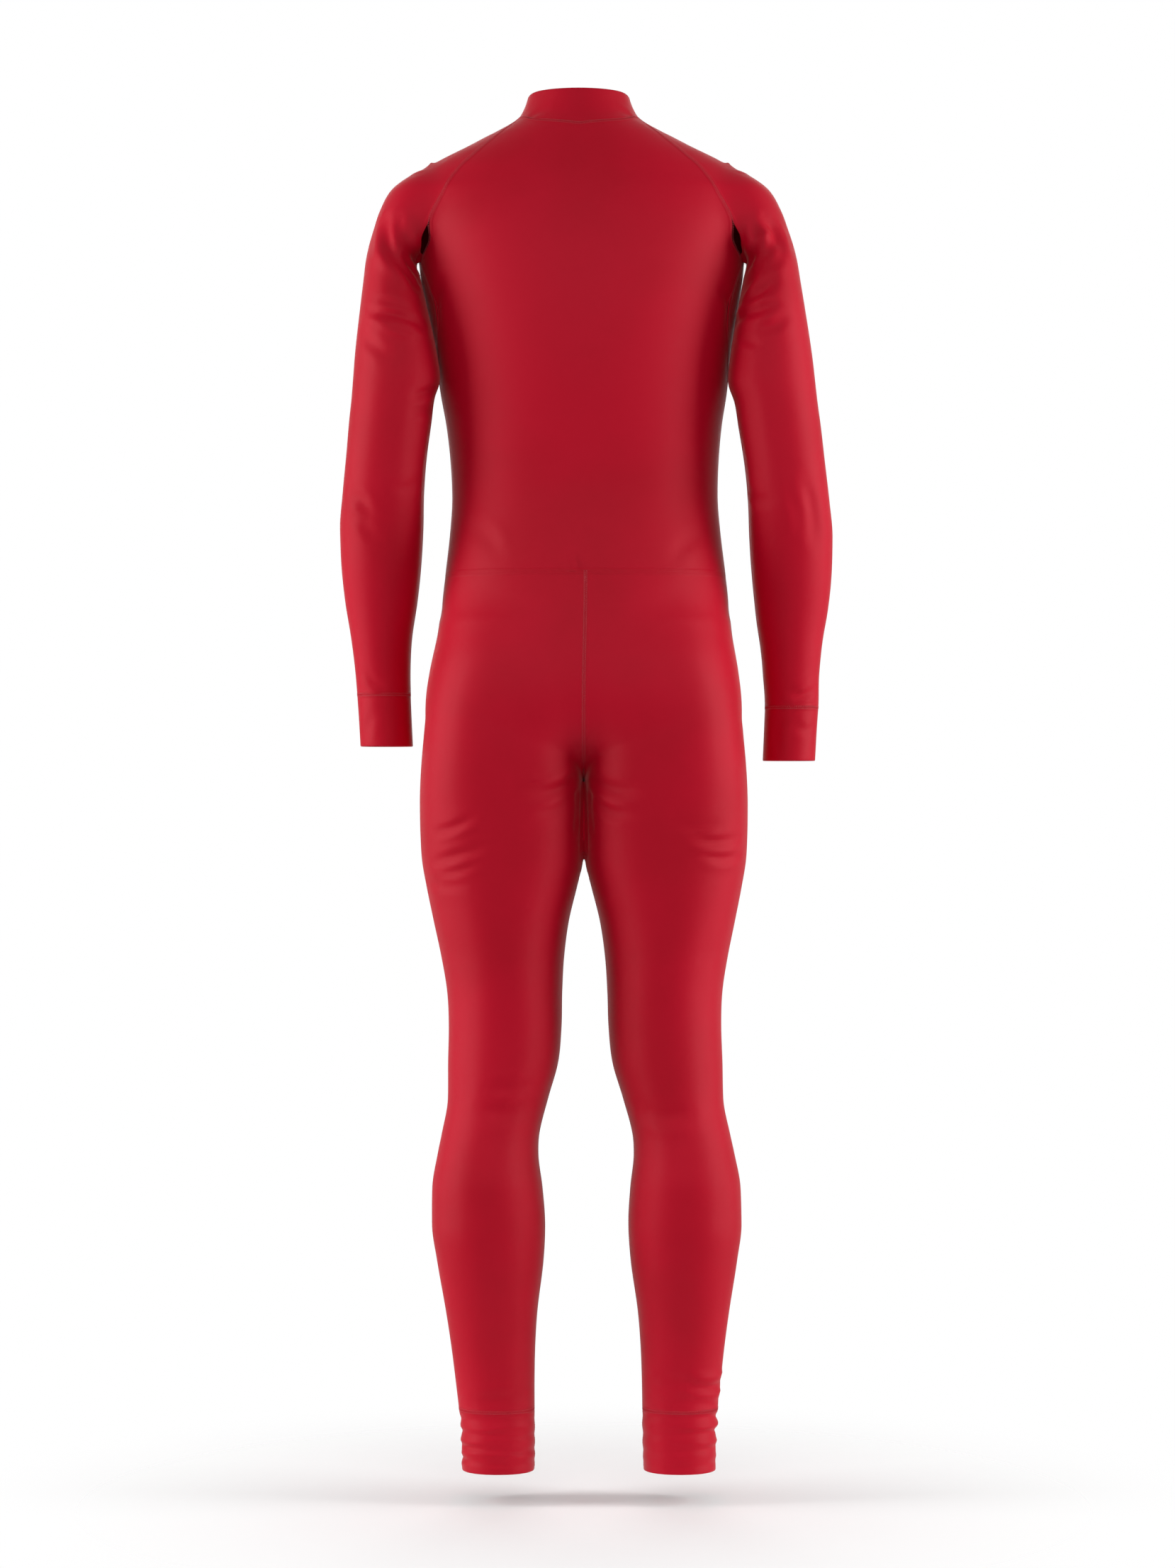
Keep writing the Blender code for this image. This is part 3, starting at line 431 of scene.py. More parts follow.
def knit_mesh(name, grid, normals, thick, sewn, open_rows, hems=""):
    """One closed wall between seams and hems, with its cut laid out as UV and its distance from a seam.

    sewn lists the sewn edges as top, bottom and sides; hems lists the rolled ones as top and bottom.
    """
    outer, inner = grid, grid - normals * thick
    rows, columns = grid.shape[:2]
    points, faces = [outer.reshape(-1, 3), inner.reshape(-1, 3)], []
    count = rows * columns
    number = np.arange(2 * count).reshape(2, rows, columns)
    for side in (0, 1):
        n = number[side]
        faces.append(np.stack([n[:-1, :-1], n[:-1, 1:], n[1:, 1:], n[1:, :-1]], -1).reshape(-1, 4))
    rims = [(number[:, 0], "top" in hems, 1), (number[:, -1], "bottom" in hems, -2)]
    if open_rows:
        rims += [(number[:, : open_rows + 1, 0], False, 0), (number[:, : open_rows + 1, -1], False, 0)]
    total = 2 * count
    for rim, rolled, neighbour in rims:
        lines = [rim[0]]
        if rolled:
            edge = 0 if neighbour == 1 else -1
            away = unit(outer[edge] - outer[neighbour])
            centre, radius = (outer[edge] + inner[edge]) / 2, thick / 2
            for turn in (45, 90, 135):
                bend = math.radians(turn)
                ring = centre + (outer[edge] - centre) * math.cos(bend) + away * radius * math.sin(bend)
                points.append(ring)
                lines.append(np.arange(total, total + columns))
                total += columns
        lines.append(rim[1])
        for one, two in zip(lines[:-1], lines[1:]):
            faces.append(np.stack([one[:-1], one[1:], two[1:], two[:-1]], -1))
    points, faces = np.concatenate(points), np.concatenate(faces)
    across, down = lengths(grid, 1), lengths(grid, 0)
    reach = np.full((rows, columns), 0.05)
    if "sides" in sewn:
        reach = np.minimum(reach, np.minimum(across, across[:, -1:] - across))
    if "top" in sewn:
        reach = np.minimum(reach, down)
    if "bottom" in sewn:
        reach = np.minimum(reach, down[-1:] - down)
    across = across - across[:, columns // 2][:, None]
    mesh = bpy.data.meshes.new(name)
    mesh.from_pydata(points.tolist(), [], faces.tolist())
    extra = len(points) - 2 * count
    layout = np.concatenate([np.stack([across, down], -1).reshape(-1, 2)] * 2 + [np.zeros((extra, 2))])
    corners = np.empty(len(mesh.loops), np.int32)
    mesh.loops.foreach_get("vertex_index", corners)
    mesh.uv_layers.new(name="cut").data.foreach_set("uv", layout[corners].ravel())
    from_seam = np.concatenate([reach.ravel()] * 2 + [np.full(extra, 0.05)])
    mesh.attributes.new("from_seam", "FLOAT", "POINT").data.foreach_set("value", from_seam)
    shape = bmesh.new()
    shape.from_mesh(mesh)
    bmesh.ops.remove_doubles(shape, verts=shape.verts, dist=1e-6)
    bmesh.ops.recalc_face_normals(shape, faces=shape.faces)
    shape.to_mesh(mesh)
    shape.free()
    mesh.shade_smooth()
    mesh.set_sharp_from_angle(angle=math.radians(60))
    return mesh


def knit_look(name, colour, deep, pitch, sheen):
    """Warp knit with a satin face: fine wales and loops, a soft sheen, a pressed line at the seams, and
    painted shade along the seams and in the knit's hollows.
    """
    made = bpy.data.materials.new(name)
    made.use_nodes = True
    tree = made.node_tree
    new = tree.nodes.new
    shader = tree.nodes["Principled BSDF"]
    shader.inputs["Roughness"].default_value = 0.44
    shader.inputs["Specular IOR Level"].default_value = 0.14
    shader.inputs["Sheen Weight"].default_value = sheen
    shader.inputs["Sheen Roughness"].default_value = 0.24
    shader.inputs["Sheen Tint"].default_value = (1.0, 0.42, 0.38, 1)
    layout = new("ShaderNodeUVMap")
    layout.uv_map = "cut"
    split = new("ShaderNodeSeparateXYZ")
    link(tree, [(layout.outputs[0], split.inputs[0])])

    def maths(kind, first, second):
        node = new("ShaderNodeMath")
        node.operation = kind
        for socket, value in zip(node.inputs, (first, second)):
            if isinstance(value, (int, float)):
                socket.default_value = value
            elif value is not None:
                tree.links.new(value, socket)
        return node.outputs[0]

    wale = maths("SINE", maths("MULTIPLY", split.outputs["X"], math.tau / pitch), None)
    loop = maths("SINE", maths("MULTIPLY", split.outputs["Y"], math.tau / (0.8 * pitch)), None)
    stagger = maths("MULTIPLY", wale, loop)
    relief = maths("ADD", maths("ABSOLUTE", wale, None), maths("MULTIPLY", stagger, 0.35))
    where = new("ShaderNodeTexCoord")
    slub = new("ShaderNodeTexNoise")
    slub.inputs["Scale"].default_value = 900
    slub.inputs["Detail"].default_value = 2
    link(tree, [(where.outputs["Object"], slub.inputs["Vector"])])
    relief = maths("ADD", relief, maths("MULTIPLY", slub.outputs["Fac"], 0.6))
    weave = new("ShaderNodeBump")
    weave.inputs["Strength"].default_value = 0.32
    weave.inputs["Distance"].default_value = 0.00012
    seam = new("ShaderNodeAttribute")
    seam.attribute_name = "from_seam"
    pressed = new("ShaderNodeMapRange")
    pressed.interpolation_type = "SMOOTHSTEP"
    pressed.inputs["From Min"].default_value = 0.0022
    pressed.inputs["From Max"].default_value = 0.0045
    pucker = new("ShaderNodeTexNoise")
    pucker.inputs["Scale"].default_value = 130
    pucker.inputs["Detail"].default_value = 1
    link(tree, [
        (where.outputs["Object"], pucker.inputs["Vector"]),
        (seam.outputs["Fac"], pressed.inputs["Value"]),
    ])
    beside = maths("SUBTRACT", 1, pressed.outputs["Result"])
    raised = maths("MULTIPLY", beside, maths("ADD", pucker.outputs["Fac"], 0.6))
    seam_bump = new("ShaderNodeBump")
    seam_bump.inputs["Strength"].default_value = 0.5
    seam_bump.inputs["Distance"].default_value = 0.0005
    cloud = new("ShaderNodeTexNoise")
    cloud.inputs["Scale"].default_value = 7
    cloud.inputs["Detail"].default_value = 3
    link(tree, [(where.outputs["Object"], cloud.inputs["Vector"])])
    tone = new("ShaderNodeMix")
    tone.data_type = "RGBA"
    tone.inputs[6].default_value = (*deep, 1)
    tone.inputs[7].default_value = (*colour, 1)
    spread = new("ShaderNodeMapRange")
    spread.inputs["From Min"].default_value = 0.32
    spread.inputs["From Max"].default_value = 0.62
    # painted shade along the seams: within about 2 to 4.5 mm of a seam the colour is pulled towards the
    # deeper red
    seam_shade = maths("MULTIPLY", beside, 0.35)
    # painted shade in the knit's hollows: the colour follows the knit's relief, lighter on raised loops and
    # darker between them
    knit_hollow_shade = maths("MULTIPLY", relief, 0.12)
    link(tree, [
        (cloud.outputs["Fac"], spread.inputs["Value"]),
        (maths("ADD", maths("SUBTRACT", spread.outputs["Result"], seam_shade), knit_hollow_shade), tone.inputs[0]),
        (tone.outputs[2], shader.inputs["Base Color"]),
        (raised, seam_bump.inputs["Height"]),
        (relief, weave.inputs["Height"]),
        (seam_bump.outputs[0], weave.inputs["Normal"]),
        (weave.outputs[0], shader.inputs["Normal"]),
    ])
    return made


RED, DEEP_RED = (0.50, 0.001, 0.018), (0.44, 0.0008, 0.014)
knit = knit_look("stretch_knit", RED, DEEP_RED, 0.0007, 0.4)
band_knit = knit_look("band_knit", RED, DEEP_RED, 0.0009, 0.38)
seam_lines = {}


def sew_in(name, node, grid, normals, thick, look, sewn, open_rows, hems=""):
    """Makes a cut piece from its finished grid, in place of its solid."""
    mesh = knit_mesh(name, grid, normals, thick, sewn, open_rows, hems)
    mesh.materials.append(look)
    piece = bpy.data.objects.new(name, mesh)
    room.objects.link(piece)
    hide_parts(node)
    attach(piece, "suit")
    return piece


def drawn_in(grid, normals, edges, open_rows=0):
    """A panel's grid with its sewn edges drawn half the seam gap into the panel."""
    moved = grid.copy()
    for edge, inner in edges:
        line = grid[edge]
        across = unit(np.cross(normals[edge], np.gradient(line, axis=0)))
        across *= np.sign(np.sum(across * (grid[inner] - line), axis=-1, keepdims=True))
        keep = slice(0, open_rows) if isinstance(edge, tuple) else slice(None)
        moved[edge][keep] += across[keep] * SEAM_GAP / 2
    return moved


TOP, BOTTOM = (0, 1), (-1, -2)


def side_edges(open_rows):
    span = slice(0, open_rows + 1)
    return [((span, 0), (span, 1)), ((span, -1), (span, -2))]


back_seam, front_seam, ridge, hub = raglan_seams()
armhole = len(back_seam) - 1
half_back = trunk_panel(back_seam, RAGLAN_AT_NECK[0], 90)
whole_back = np.concatenate([half_back, half_back[:, -2::-1] * (-1, 1, 1)], axis=1)
grid = finer(whole_back, FINER, armhole, body_form)
normals = outwards(grid)
open_rows = len(grid)
BACK_CREASES = (  # path x, z three times, seen from behind; face; half width, depth, lip; mm
    (8, -470, 4, -482, 1, -489, 1, 5, 1.4, 0.5),
    (92, -470, 104, -452, 122, -440, 1, 9, 1.2, 0.6),
    (-96, -473, -110, -456, -126, -446, 1, 8, 1.2, 0.6),
    (150, -176, 158, -196, 156, -222, 1, 7, 1.8, 0.5),
    (-149, -181, -157, -199, -154, -226, 1, 7, 1.8, 0.5),
)
edged = placed(drawn_in(grid, normals, [TOP, BOTTOM, *side_edges(open_rows)], open_rows), 1)
edged += normals * creased(edged, normals, BACK_CREASES)[..., None] * MM
sew_in("back_panel", "back", edged, normals, KNIT, knit, ("top", "bottom", "sides"), open_rows)
back_at = armhole * FINER[0]
seam_lines["raglan_back_left"] = edged[: back_at + 1, 0], normals[: back_at + 1, 0]
seam_lines["raglan_back_right"] = edged[: back_at + 1, -1], normals[: back_at + 1, -1]
seam_lines["side_left"] = edged[back_at:, 0], normals[back_at:, 0]
seam_lines["side_right"] = edged[back_at:, -1], normals[back_at:, -1]
seam_lines["waist_back"] = edged[-1], normals[-1]
seam_lines["neck_back"] = edged[0], normals[0]

# The fronts: two panels from the collar to the waist, with the zip between their inner edges.
# Their inner edges stand a little apart along the zip, which leaves the teeth free.
ZIP_GAP = 6 * MM
FRONT_CREASES = (  # as on the back, for the left front; the right one takes them with x turned round
    (136, -172, 146, -190, 144, -216, -1, 7, 1.2, 0.5),
    (60, -470, 82, -455, 104, -449, -1, 9, 0.9, 0.6),
    (20, -60, 22, -96, 16, -128, -1, 10, 0.7, 0.4),
)


def centre_front(z, x=0.0):
    """Points of the front at a small distance x from its centre, heights in metres."""
    start = trunk_axis(z)
    start[..., 0] = x
    return cast(start, (0, -1, 0))


half_front = trunk_panel(front_seam, RAGLAN_AT_NECK[1], -90)
half_front[:, -1] = centre_front(half_front[:, -1, 2], ZIP_GAP / 2)
grid = finer(half_front, FINER, armhole, body_form, sharp=(0,))
grid[:, -1, 0] = ZIP_GAP / 2
normals = outwards(grid)
edged = drawn_in(grid, normals, [TOP, BOTTOM, *side_edges(open_rows)], open_rows)
edged[:, -1, 0] = ZIP_GAP / 2
for side, name in ((1, "left"), (-1, "right")):
    out = normals * (side, 1, 1)
    cloth = placed(edged, side)
    creases = [(side * a, b, side * c, d, side * e, *rest) for a, b, c, d, e, *rest in FRONT_CREASES]
    cloth += out * creased(cloth, out, creases)[..., None] * MM
    sew_in(f"front_{name}_panel", f"front_{name}", cloth, out, KNIT, knit,
           ("top", "bottom", "sides"), open_rows)
    seam_lines[f"raglan_front_{name}"] = cloth[: back_at + 1, 0], out[: back_at + 1, 0]
    seam_lines[f"waist_front_{name}"] = cloth[-1], out[-1]

# The sleeves: raglan sleeves cut in one piece from the collar to the cuff, closed by one seam
# under the arm. They hang with a slight bend, so cloth gathers at the armhole and the elbow.
SLEEVE_ROWS = (
    -164, -179, -195, -212, -229, -246, -264, -290, -325, -360, -395, -430, -465, -500, -535, -570,
    -598, CUFF_SEAM,
)
SLEEVE_CREASES = {  # as on the back, with each sleeve's own
    1: (
        (214, -106, 206, -140, 181, -181, 1, 8, 5.0, 0.55),
        (199, -104, 190, -139, 178, -174, 1, 6, 4.2, 0.6),
        (187, -118, 184, -138, 176, -156, 1, 5, 2.8, 0.5),
        (226, -209, 201, -214, 172, -226, 1, 6, 4.5, 0.7),
        (222, -200, 205, -202, 184, -209, 1, 4.5, 2.5, 0.6),
        (219, -219, 198, -226, 180, -233, 1, 4.5, 2.4, 0.6),
        (236, -232, 226, -246, 208, -256, 1, 7, 1.8, 0.5),
        (181, -303, 171, -298, 160, -291, 1, 5, 2.5, 0.6),
        (184, -322, 174, -318, 164, -314, 1, 5, 1.8, 0.5),
        (253, -404, 240, -412, 226, -430, 1, 7, 2.7, 0.6),
        (250, -424, 238, -434, 224, -452, 1, 7, 1.8, 0.6),
        (178, -391, 190, -398, 205, -400, 1, 6, 1.4, 0.5),
        (214, -196, 198, -202, 182, -208, -1, 8, 4.5, 0.6),
        (197, -112, 188, -138, 178, -162, -1, 8, 5.0, 0.6),
        (210, -108, 205, -132, 192, -158, -1, 7, 3.1, 0.6),
        (238, -388, 214, -396, 188, -402, -1, 8, 4.8, 0.7),
        (240, -412, 218, -414, 194, -417, -1, 6, 3.1, 0.6),
        (228, -372, 212, -378, 196, -381, -1, 6, 2.5, 0.6),
        (238, -596, 230, -604, 218, -609, 1, 5, 1.4, 0.5),
        (205, -580, 214, -588, 224, -590, -1, 6, 1.4, 0.5),
    ),
    -1: (
        (-198, -110, -208, -126, -191, -158, 1, 8, 5.0, 0.6),
        (-184, -116, -188, -136, -178, -160, 1, 5.5, 3.4, 0.6),
        (-215, -128, -212, -148, -199, -168, 1, 6, 2.2, 0.5),
        (-203, -176, -190, -188, -171, -207, 1, 7, 4.2, 0.6),
        (-200, -202, -184, -210, -163, -220, 1, 6, 3.9, 0.7),
        (-216, -216, -204, -226, -186, -232, 1, 6, 2.0, 0.5),
        (-168, -236, -176, -243, -188, -246, 1, 5, 1.8, 0.5),
        (-236, -395, -244, -420, -249, -456, 1, 8, 2.5, 0.5),
        (-222, -402, -230, -424, -236, -448, 1, 7, 1.7, 0.5),
        (-178, -402, -188, -410, -202, -412, 1, 6, 1.5, 0.5),
        (-214, -199, -198, -206, -182, -211, -1, 8, 4.2, 0.6),
        (-199, -114, -189, -140, -180, -166, -1, 8, 4.8, 0.6),
        (-238, -394, -214, -404, -190, -409, -1, 8, 4.5, 0.7),
        (-241, -421, -220, -424, -197, -425, -1, 6, 2.8, 0.6),
        (-252, -612, -240, -619, -226, -620, 1, 5, 2.2, 0.6),
        (-251, -628, -243, -632, -231, -633, 1, 4, 1.4, 0.5),
    ),
}


def turned(first, second, share):
    """Directions from one to another, in even turns."""
    turn = math.acos(np.clip(first @ second, -1, 1))
    share = share[:, None]
    return (np.sin((1 - share) * turn) * first + np.sin(share * turn) * second) / math.sin(turn)


def level_ways(degrees):
    turn = np.radians(degrees)
    return np.stack([np.cos(turn), np.sin(turn), np.zeros_like(turn)], axis=-1)


def limb_axis(table, z):
    """The middle of a left limb at heights in mm."""
    x, y = ((column(table, i, z) + column(table, i + 1, z)) / 2 for i in (1, 3))
    return np.stack([x, y, z], axis=-1) * MM


def sleeve_grid():
    """A sleeve, neck to cuff; each row runs from the back seam over the top to the front seam."""
    half = np.linspace(0, 1, HALF_PANEL + 1)
    rows = [neck_point(np.linspace(*RAGLAN_AT_NECK, 2 * HALF_PANEL + 1))]
    for i in range(len(ridge)):
        ways = unit(np.array([back_seam[i + 1], ridge[i], front_seam[i + 1]]) - hub[i])
        over = np.vstack([turned(ways[0], ways[1], half), turned(ways[1], ways[2], half)[1:]])
        row = cast(hub[i], over)
        row[0], row[-1] = back_seam[i + 1], front_seam[i + 1]
        rows.append(row)
    heights = np.array([UNDERARM, *SLEEVE_ROWS], float)
    axis = limb_axis(ARM, heights)
    first = np.degrees(np.arctan2(back_seam[-1][1] - axis[0, 1], back_seam[-1][0] - axis[0, 0]))
    fade = np.clip((heights - UNDERARM) / (CUFF_SEAM - UNDERARM), 0, 1)
    for centre, seam in zip(axis, first + (180 - first) * fade):
        over = np.linspace(seam, 0, HALF_PANEL + 1)
        under = np.linspace(0, seam - 360, HALF_PANEL + 1)[1:]
        rows.append(cast(centre, level_ways(np.append(over, under)), arm_form))
    rows[len(ridge) + 1][[0, -1]] = back_seam[-1]
    return np.array(rows)


grid = finer(sleeve_grid(), FINER, armhole, arm_form)
normals = outwards(grid)
edged = drawn_in(grid, normals, [TOP, BOTTOM, *side_edges(back_at)], back_at)
for side, name in ((1, "left"), (-1, "right")):
    out = normals * (side, 1, 1)
    cloth = placed(edged, side, arm=True)
    rise = creased(cloth, out, SLEEVE_CREASES[side])
    calm = np.clip(np.minimum(lengths(grid, 0), lengths(grid, 1)) / (4 * MM), 0, 1)
    calm *= np.clip((lengths(grid, 1)[:, -1:] - lengths(grid, 1)) / (4 * MM), 0, 1)
    calm[back_at + 1 :] = 1
    calm[[0, -1]] = 0
    rise[:, -1] = rise[:, 0] = np.where(np.arange(len(grid)) > back_at, (rise[:, 0] + rise[:, -1]) / 2, 0)
    cloth += out * (rise * calm)[..., None] * MM
    sew_in(f"sleeve_{name}_panel", f"sleeve_{name}", cloth, out, KNIT, knit,
           ("top", "bottom", "sides"), back_at)
    seam_lines[f"underarm_{name}"] = cloth[back_at:, 0], out[back_at:, 0]
    seam_lines[f"cuff_{name}"] = cloth[-1], out[-1]
    seam_lines[f"neck_{name}"] = cloth[0], out[0]

# The cuffs: bands of the same knit folded double, sewn on at their top edge.
# The fold at the hem is soft and round.
BAND = 2.0 * MM


def band_grid(table, top, bottom, rows, columns):
    """A band round a left limb between two heights."""
    ways = level_ways(180 - 360 * np.linspace(0, 1, columns + 1))
    form = arm_form if table is ARM else body_form
    heights = np.linspace(top, bottom, rows + 1)
    return np.array([cast(limb_axis(table, np.array(z)), ways, form) for z in heights])


grid = band_grid(ARM, CUFF_SEAM, CUFF_HEM, 18, 96)
normals = outwards(grid)
edged = drawn_in(grid, normals, [TOP])
CUFF_CREASES = {
    1: (
        (229, -640, 236, -652, 240, -668, 1, 6, 0.9, 0.5),
        (203, -630, 208, -645, 204, -662, -1, 7, 1.0, 0.5),
    ),
    -1: (
        (-252, -652, -243, -657, -231, -655, 1, 5, 1.2, 0.6),
        (-215, -640, -209, -660, -213, -680, 1, 6, 0.7, 0.5),
    ),
}
for side, name in ((1, "left"), (-1, "right")):
    out = normals * (side, 1, 1)
    cloth = placed(edged, side, arm=True)
    rise = creased(cloth, out, CUFF_CREASES[side])
    rise[0] = 0
    rise[:, 0] = rise[:, -1] = (rise[:, 0] + rise[:, -1]) / 2
    cloth += out * rise[..., None] * MM
    sew_in(f"cuff_{name}_band", f"cuff_{name}", cloth, out, BAND, band_knit,
           ("top", "sides"), 0, ("bottom",))

# The legs: each is one piece from the waist to the ankle, sewn to the other along the centre of
# the seat and the front, and closed by a seam inside the leg.
SEAT_ROWS = (WAIST, -518, -550, -580)
CROTCH_TURNS = ((18, -607), (36, -634), (54, -660), (72, -685), (90, FORK))  # degrees down, side height
FAN_HEIGHT = -607
LEG_ROWS = (
    -722, -742, -768, -800, -838, -878, -918, -958, -996, -1030, -1062, -1096, -1130, -1165,
    -1205, -1250, -1300, -1350, ANKLE_SEAM,
)
LEG_FINER = (9, 9)
LEG_CREASES = {
    1: (
        (157, -769, 140, -762, 119, -753, 1, 5, 2.2, 0.7),
        (161, -799, 136, -793, 107, -784, 1, 5.5, 2.8, 0.7),
        (156, -812, 136, -808, 112, -801, 1, 4.5, 2.0, 0.6),
        (168, -820, 150, -826, 132, -824, 1, 6, 1.2, 0.5),
        (10, -712, 30, -724, 58, -728, 1, 8, 3.3, 0.6),
        (12, -726, 26, -742, 48, -750, 1, 7, 2.0, 0.5),
        (14, -690, 36, -690, 62, -682, -1, 8, 3.0, 0.6),
        (18, -712, 40, -716, 66, -708, -1, 7, 2.1, 0.6),
        (62, -1062, 84, -1070, 110, -1066, 1, 9, 2.1, 0.5),
        (60, -1040, 80, -1046, 102, -1043, 1, 8, 1.4, 0.5),
        (66, -1374, 88, -1382, 118, -1378, 1, 6, 1.7, 0.6),
    ),
    -1: (
        (-117, -774, -141, -777, -166, -773, 1, 5.5, 2.7, 0.7),
        (-130, -792, -149, -795, -168, -793, 1, 5, 2.2, 0.6),
        (-104, -761, -124, -762, -146, -758, 1, 6, 1.4, 0.5),
        (-10, -712, -32, -722, -60, -724, 1, 8, 3.3, 0.6),
        (-12, -728, -28, -744, -50, -750, 1, 7, 1.8, 0.5),
        (-14, -690, -36, -691, -62, -684, -1, 8, 3.0, 0.6),
        (-18, -712, -40, -717, -66, -710, -1, 7, 2.1, 0.6),
        (-64, -1066, -88, -1073, -112, -1068, 1, 9, 2.0, 0.5),
        (-150, -1364, -136, -1368, -112, -1365, 1, 6, 3.3, 0.8),
        (-150, -1384, -132, -1387, -104, -1381, 1, 5.5, 2.7, 0.7),
        (-84, -1356, -98, -1362, -118, -1358, 1, 6, 1.4, 0.5),
        (-146, -1372, -126, -1376, -100, -1374, -1, 6, 2.4, 0.7),
    ),
}


def leg_axis(z):
    """A line from the middle of the waist down into the left leg, heights in mm."""
    share = np.clip((WAIST - z) / (WAIST - FORK), 0, 1)
    share = (share * share * (3 - 2 * share))[..., None]
    axis = limb_axis(LEG, z) * share + trunk_axis(z * MM) * (1 - share)
    axis[..., 2] = z * MM
    return axis


def leg_grid():
    """A leg, waist to ankle seam; each row runs from the centre back round the side to the front."""
    share = np.linspace(0, 1, 2 * HALF_PANEL + 1)
    rows = []
    crotch = trunk_axis(np.array(FAN_HEIGHT * MM))
    for turn, height in [(0, height) for height in SEAT_ROWS] + list(CROTCH_TURNS):
        start = trunk_axis(np.array(height * MM)) if turn == 0 else crotch
        down = math.radians(turn)
        ends = [cast(start, (0, way * math.cos(down), -math.sin(down))) for way in (1, -1)]
        ends_z = np.array([end[2] for end in ends]) / MM
        level = ends_z[0] + (ends_z[1] - ends_z[0]) * share
        z = level + (height - level) * np.sin(math.pi * share)
        away = [end - leg_axis(end[2] / MM) for end in ends]
        angle = [math.degrees(math.atan2(a[1], a[0])) for a in away]
        first, last = angle[0] % 360, angle[1] % 360 - 360
        row = cast(leg_axis(z), level_ways(first + (last - first) * share))
        row[0], row[-1] = ends
        rows.append(row)
    rows[-1][0] = rows[-1][-1] = (rows[-1][0] + rows[-1][-1]) / 2
    for height in LEG_ROWS:
        rows.append(cast(limb_axis(LEG, np.array(float(height))), level_ways(180 - 360 * share), body_form))
    return np.array(rows)


fork_row = len(SEAT_ROWS) + len(CROTCH_TURNS) - 1
fork_at = fork_row * LEG_FINER[0]
grid = finer(leg_grid(), LEG_FINER, fork_row, body_form)
grid[: fork_at + 1, [0, -1], 0] = 0
normals = outwards(grid)
edged = drawn_in(grid, normals, [TOP, BOTTOM, *side_edges(fork_at)], fork_at)
edged[..., 0] = np.maximum(edged[..., 0], SEAM_GAP / 2)
for side, name in ((1, "left"), (-1, "right")):
    out = normals * (side, 1, 1)
    cloth = placed(edged, side)
    rise = creased(cloth, out, LEG_CREASES[side])
    rise[[0, -1]] = 0
    rise[:, -1] = rise[:, 0] = 0
    cloth += out * rise[..., None] * MM
    sew_in(f"leg_{name}_panel", f"leg_{name}", cloth, out, KNIT, knit, ("top", "bottom", "sides"), fork_at)
    seam_lines[f"inseam_{name}"] = cloth[fork_at:, 0], out[fork_at:, 0]
    seam_lines[f"ankle_{name}"] = cloth[-1], out[-1]
    if side == 1:
        seam_lines["centre_back"] = cloth[: fork_at + 1, 0], out[: fork_at + 1, 0]
        seam_lines["centre_front"] = cloth[: fork_at + 1, -1], out[: fork_at + 1, -1]

# The ankle bands: close bands of the same knit folded double. The legs are pushed up a little, so
# the bands lie in uneven rings.
ANKLE_RINGS = {  # height, turn from the inner side where fullest, degrees; half width, rise; mm
    1: (
        (-1406, 150, 3.5, -1.2), (-1414, 120, 4.0, 1.5), (-1421, 165, 3.0, -2.0), (-1428, 200, 4.5, 2.2),
        (-1436, 140, 3.0, -2.1), (-1442, 95, 4.0, 1.7), (-1449, 175, 3.0, -1.6), (-1455, 150, 3.5, 0.8),
    ),
    -1: (
        (-1403, 190, 3.5, -1.8), (-1411, 200, 4.5, 2.4), (-1420, 185, 3.5, -2.4), (-1429, 210, 4.5, 2.5),
        (-1437, 200, 3.0, -1.9), (-1445, 230, 4.0, 1.2), (-1452, 140, 4.0, -0.8),
    ),
}
grid = band_grid(LEG, ANKLE_SEAM, ANKLE_HEM, 34, 112)
normals = outwards(grid)
edged = drawn_in(grid, normals, [TOP])
for side, name in ((1, "left"), (-1, "right")):
    out = normals * (side, 1, 1)
    cloth = placed(edged, side)
    round_from_inside = np.linspace(0, 360, grid.shape[1])
    rise = np.zeros(grid.shape[:2])
    for i, (height, fullest, width, amount) in enumerate(ANKLE_RINGS[side]):
        strength = 0.2 + 0.8 * np.cos(np.radians(round_from_inside - fullest) / 2) ** 4
        slope = 3.2 * np.sin(np.radians(round_from_inside * (1 + i % 2) - 25 * i))
        rise += amount * strength * np.exp(-(((grid[..., 2] / MM - height - slope) / width) ** 2))
    rise *= np.clip(lengths(grid, 0) / (5 * MM), 0, 1)
    cloth += out * rise[..., None] * MM
    sew_in(f"ankle_{name}_band", f"ankle_{name}", cloth, out, BAND, band_knit,
           ("top", "sides"), 0, ("bottom",))
    seam_lines[f"band_{name}"] = cloth[2:-2, 0], out[2:-2, 0]

# The collar: a stand collar of two layers, higher at the back, cut in one piece round the neck
# and closed at the front by the zip. Its top edge is a soft fold.
COLLAR_TOP = ((-90, -3), (-45, 15), (0, 31), (45, 35), (90, 35))
back, front = RAGLAN_AT_NECK
angles = np.concatenate([
    np.linspace(90, back, 49), np.linspace(back, front, 49)[1:], np.linspace(front, -90, 49)[1:],
])
share = np.linspace(0, 1, 16)[::-1, None]
foot, top = column(NECK_SEAM, 1, angles) * MM, column(COLLAR_TOP, 1, angles) * MM
half = around_trunk(angles, foot * (1 - share) + top * share)
half[:, -1] = centre_front(half[:, -1, 2], ZIP_GAP / 2)
grid = np.concatenate([half[:, ::-1], half[:, 1:] * (-1, 1, 1)], axis=1)
normals = outwards(grid)
cloth = placed(drawn_in(grid, normals, [BOTTOM]), 1)
COLLAR_CREASES = (
    (62, -2, 54, 8, 40, 14, 1, 5, 0.8, 0.5),
    (-58, -1, -48, 10, -36, 12, 1, 5, 0.7, 0.5),
)
cloth += normals * creased(cloth, normals, COLLAR_CREASES)[..., None] * MM
sew_in("collar_stand", "collar", cloth, normals, BAND, band_knit, ("bottom",), len(grid), ("top",))

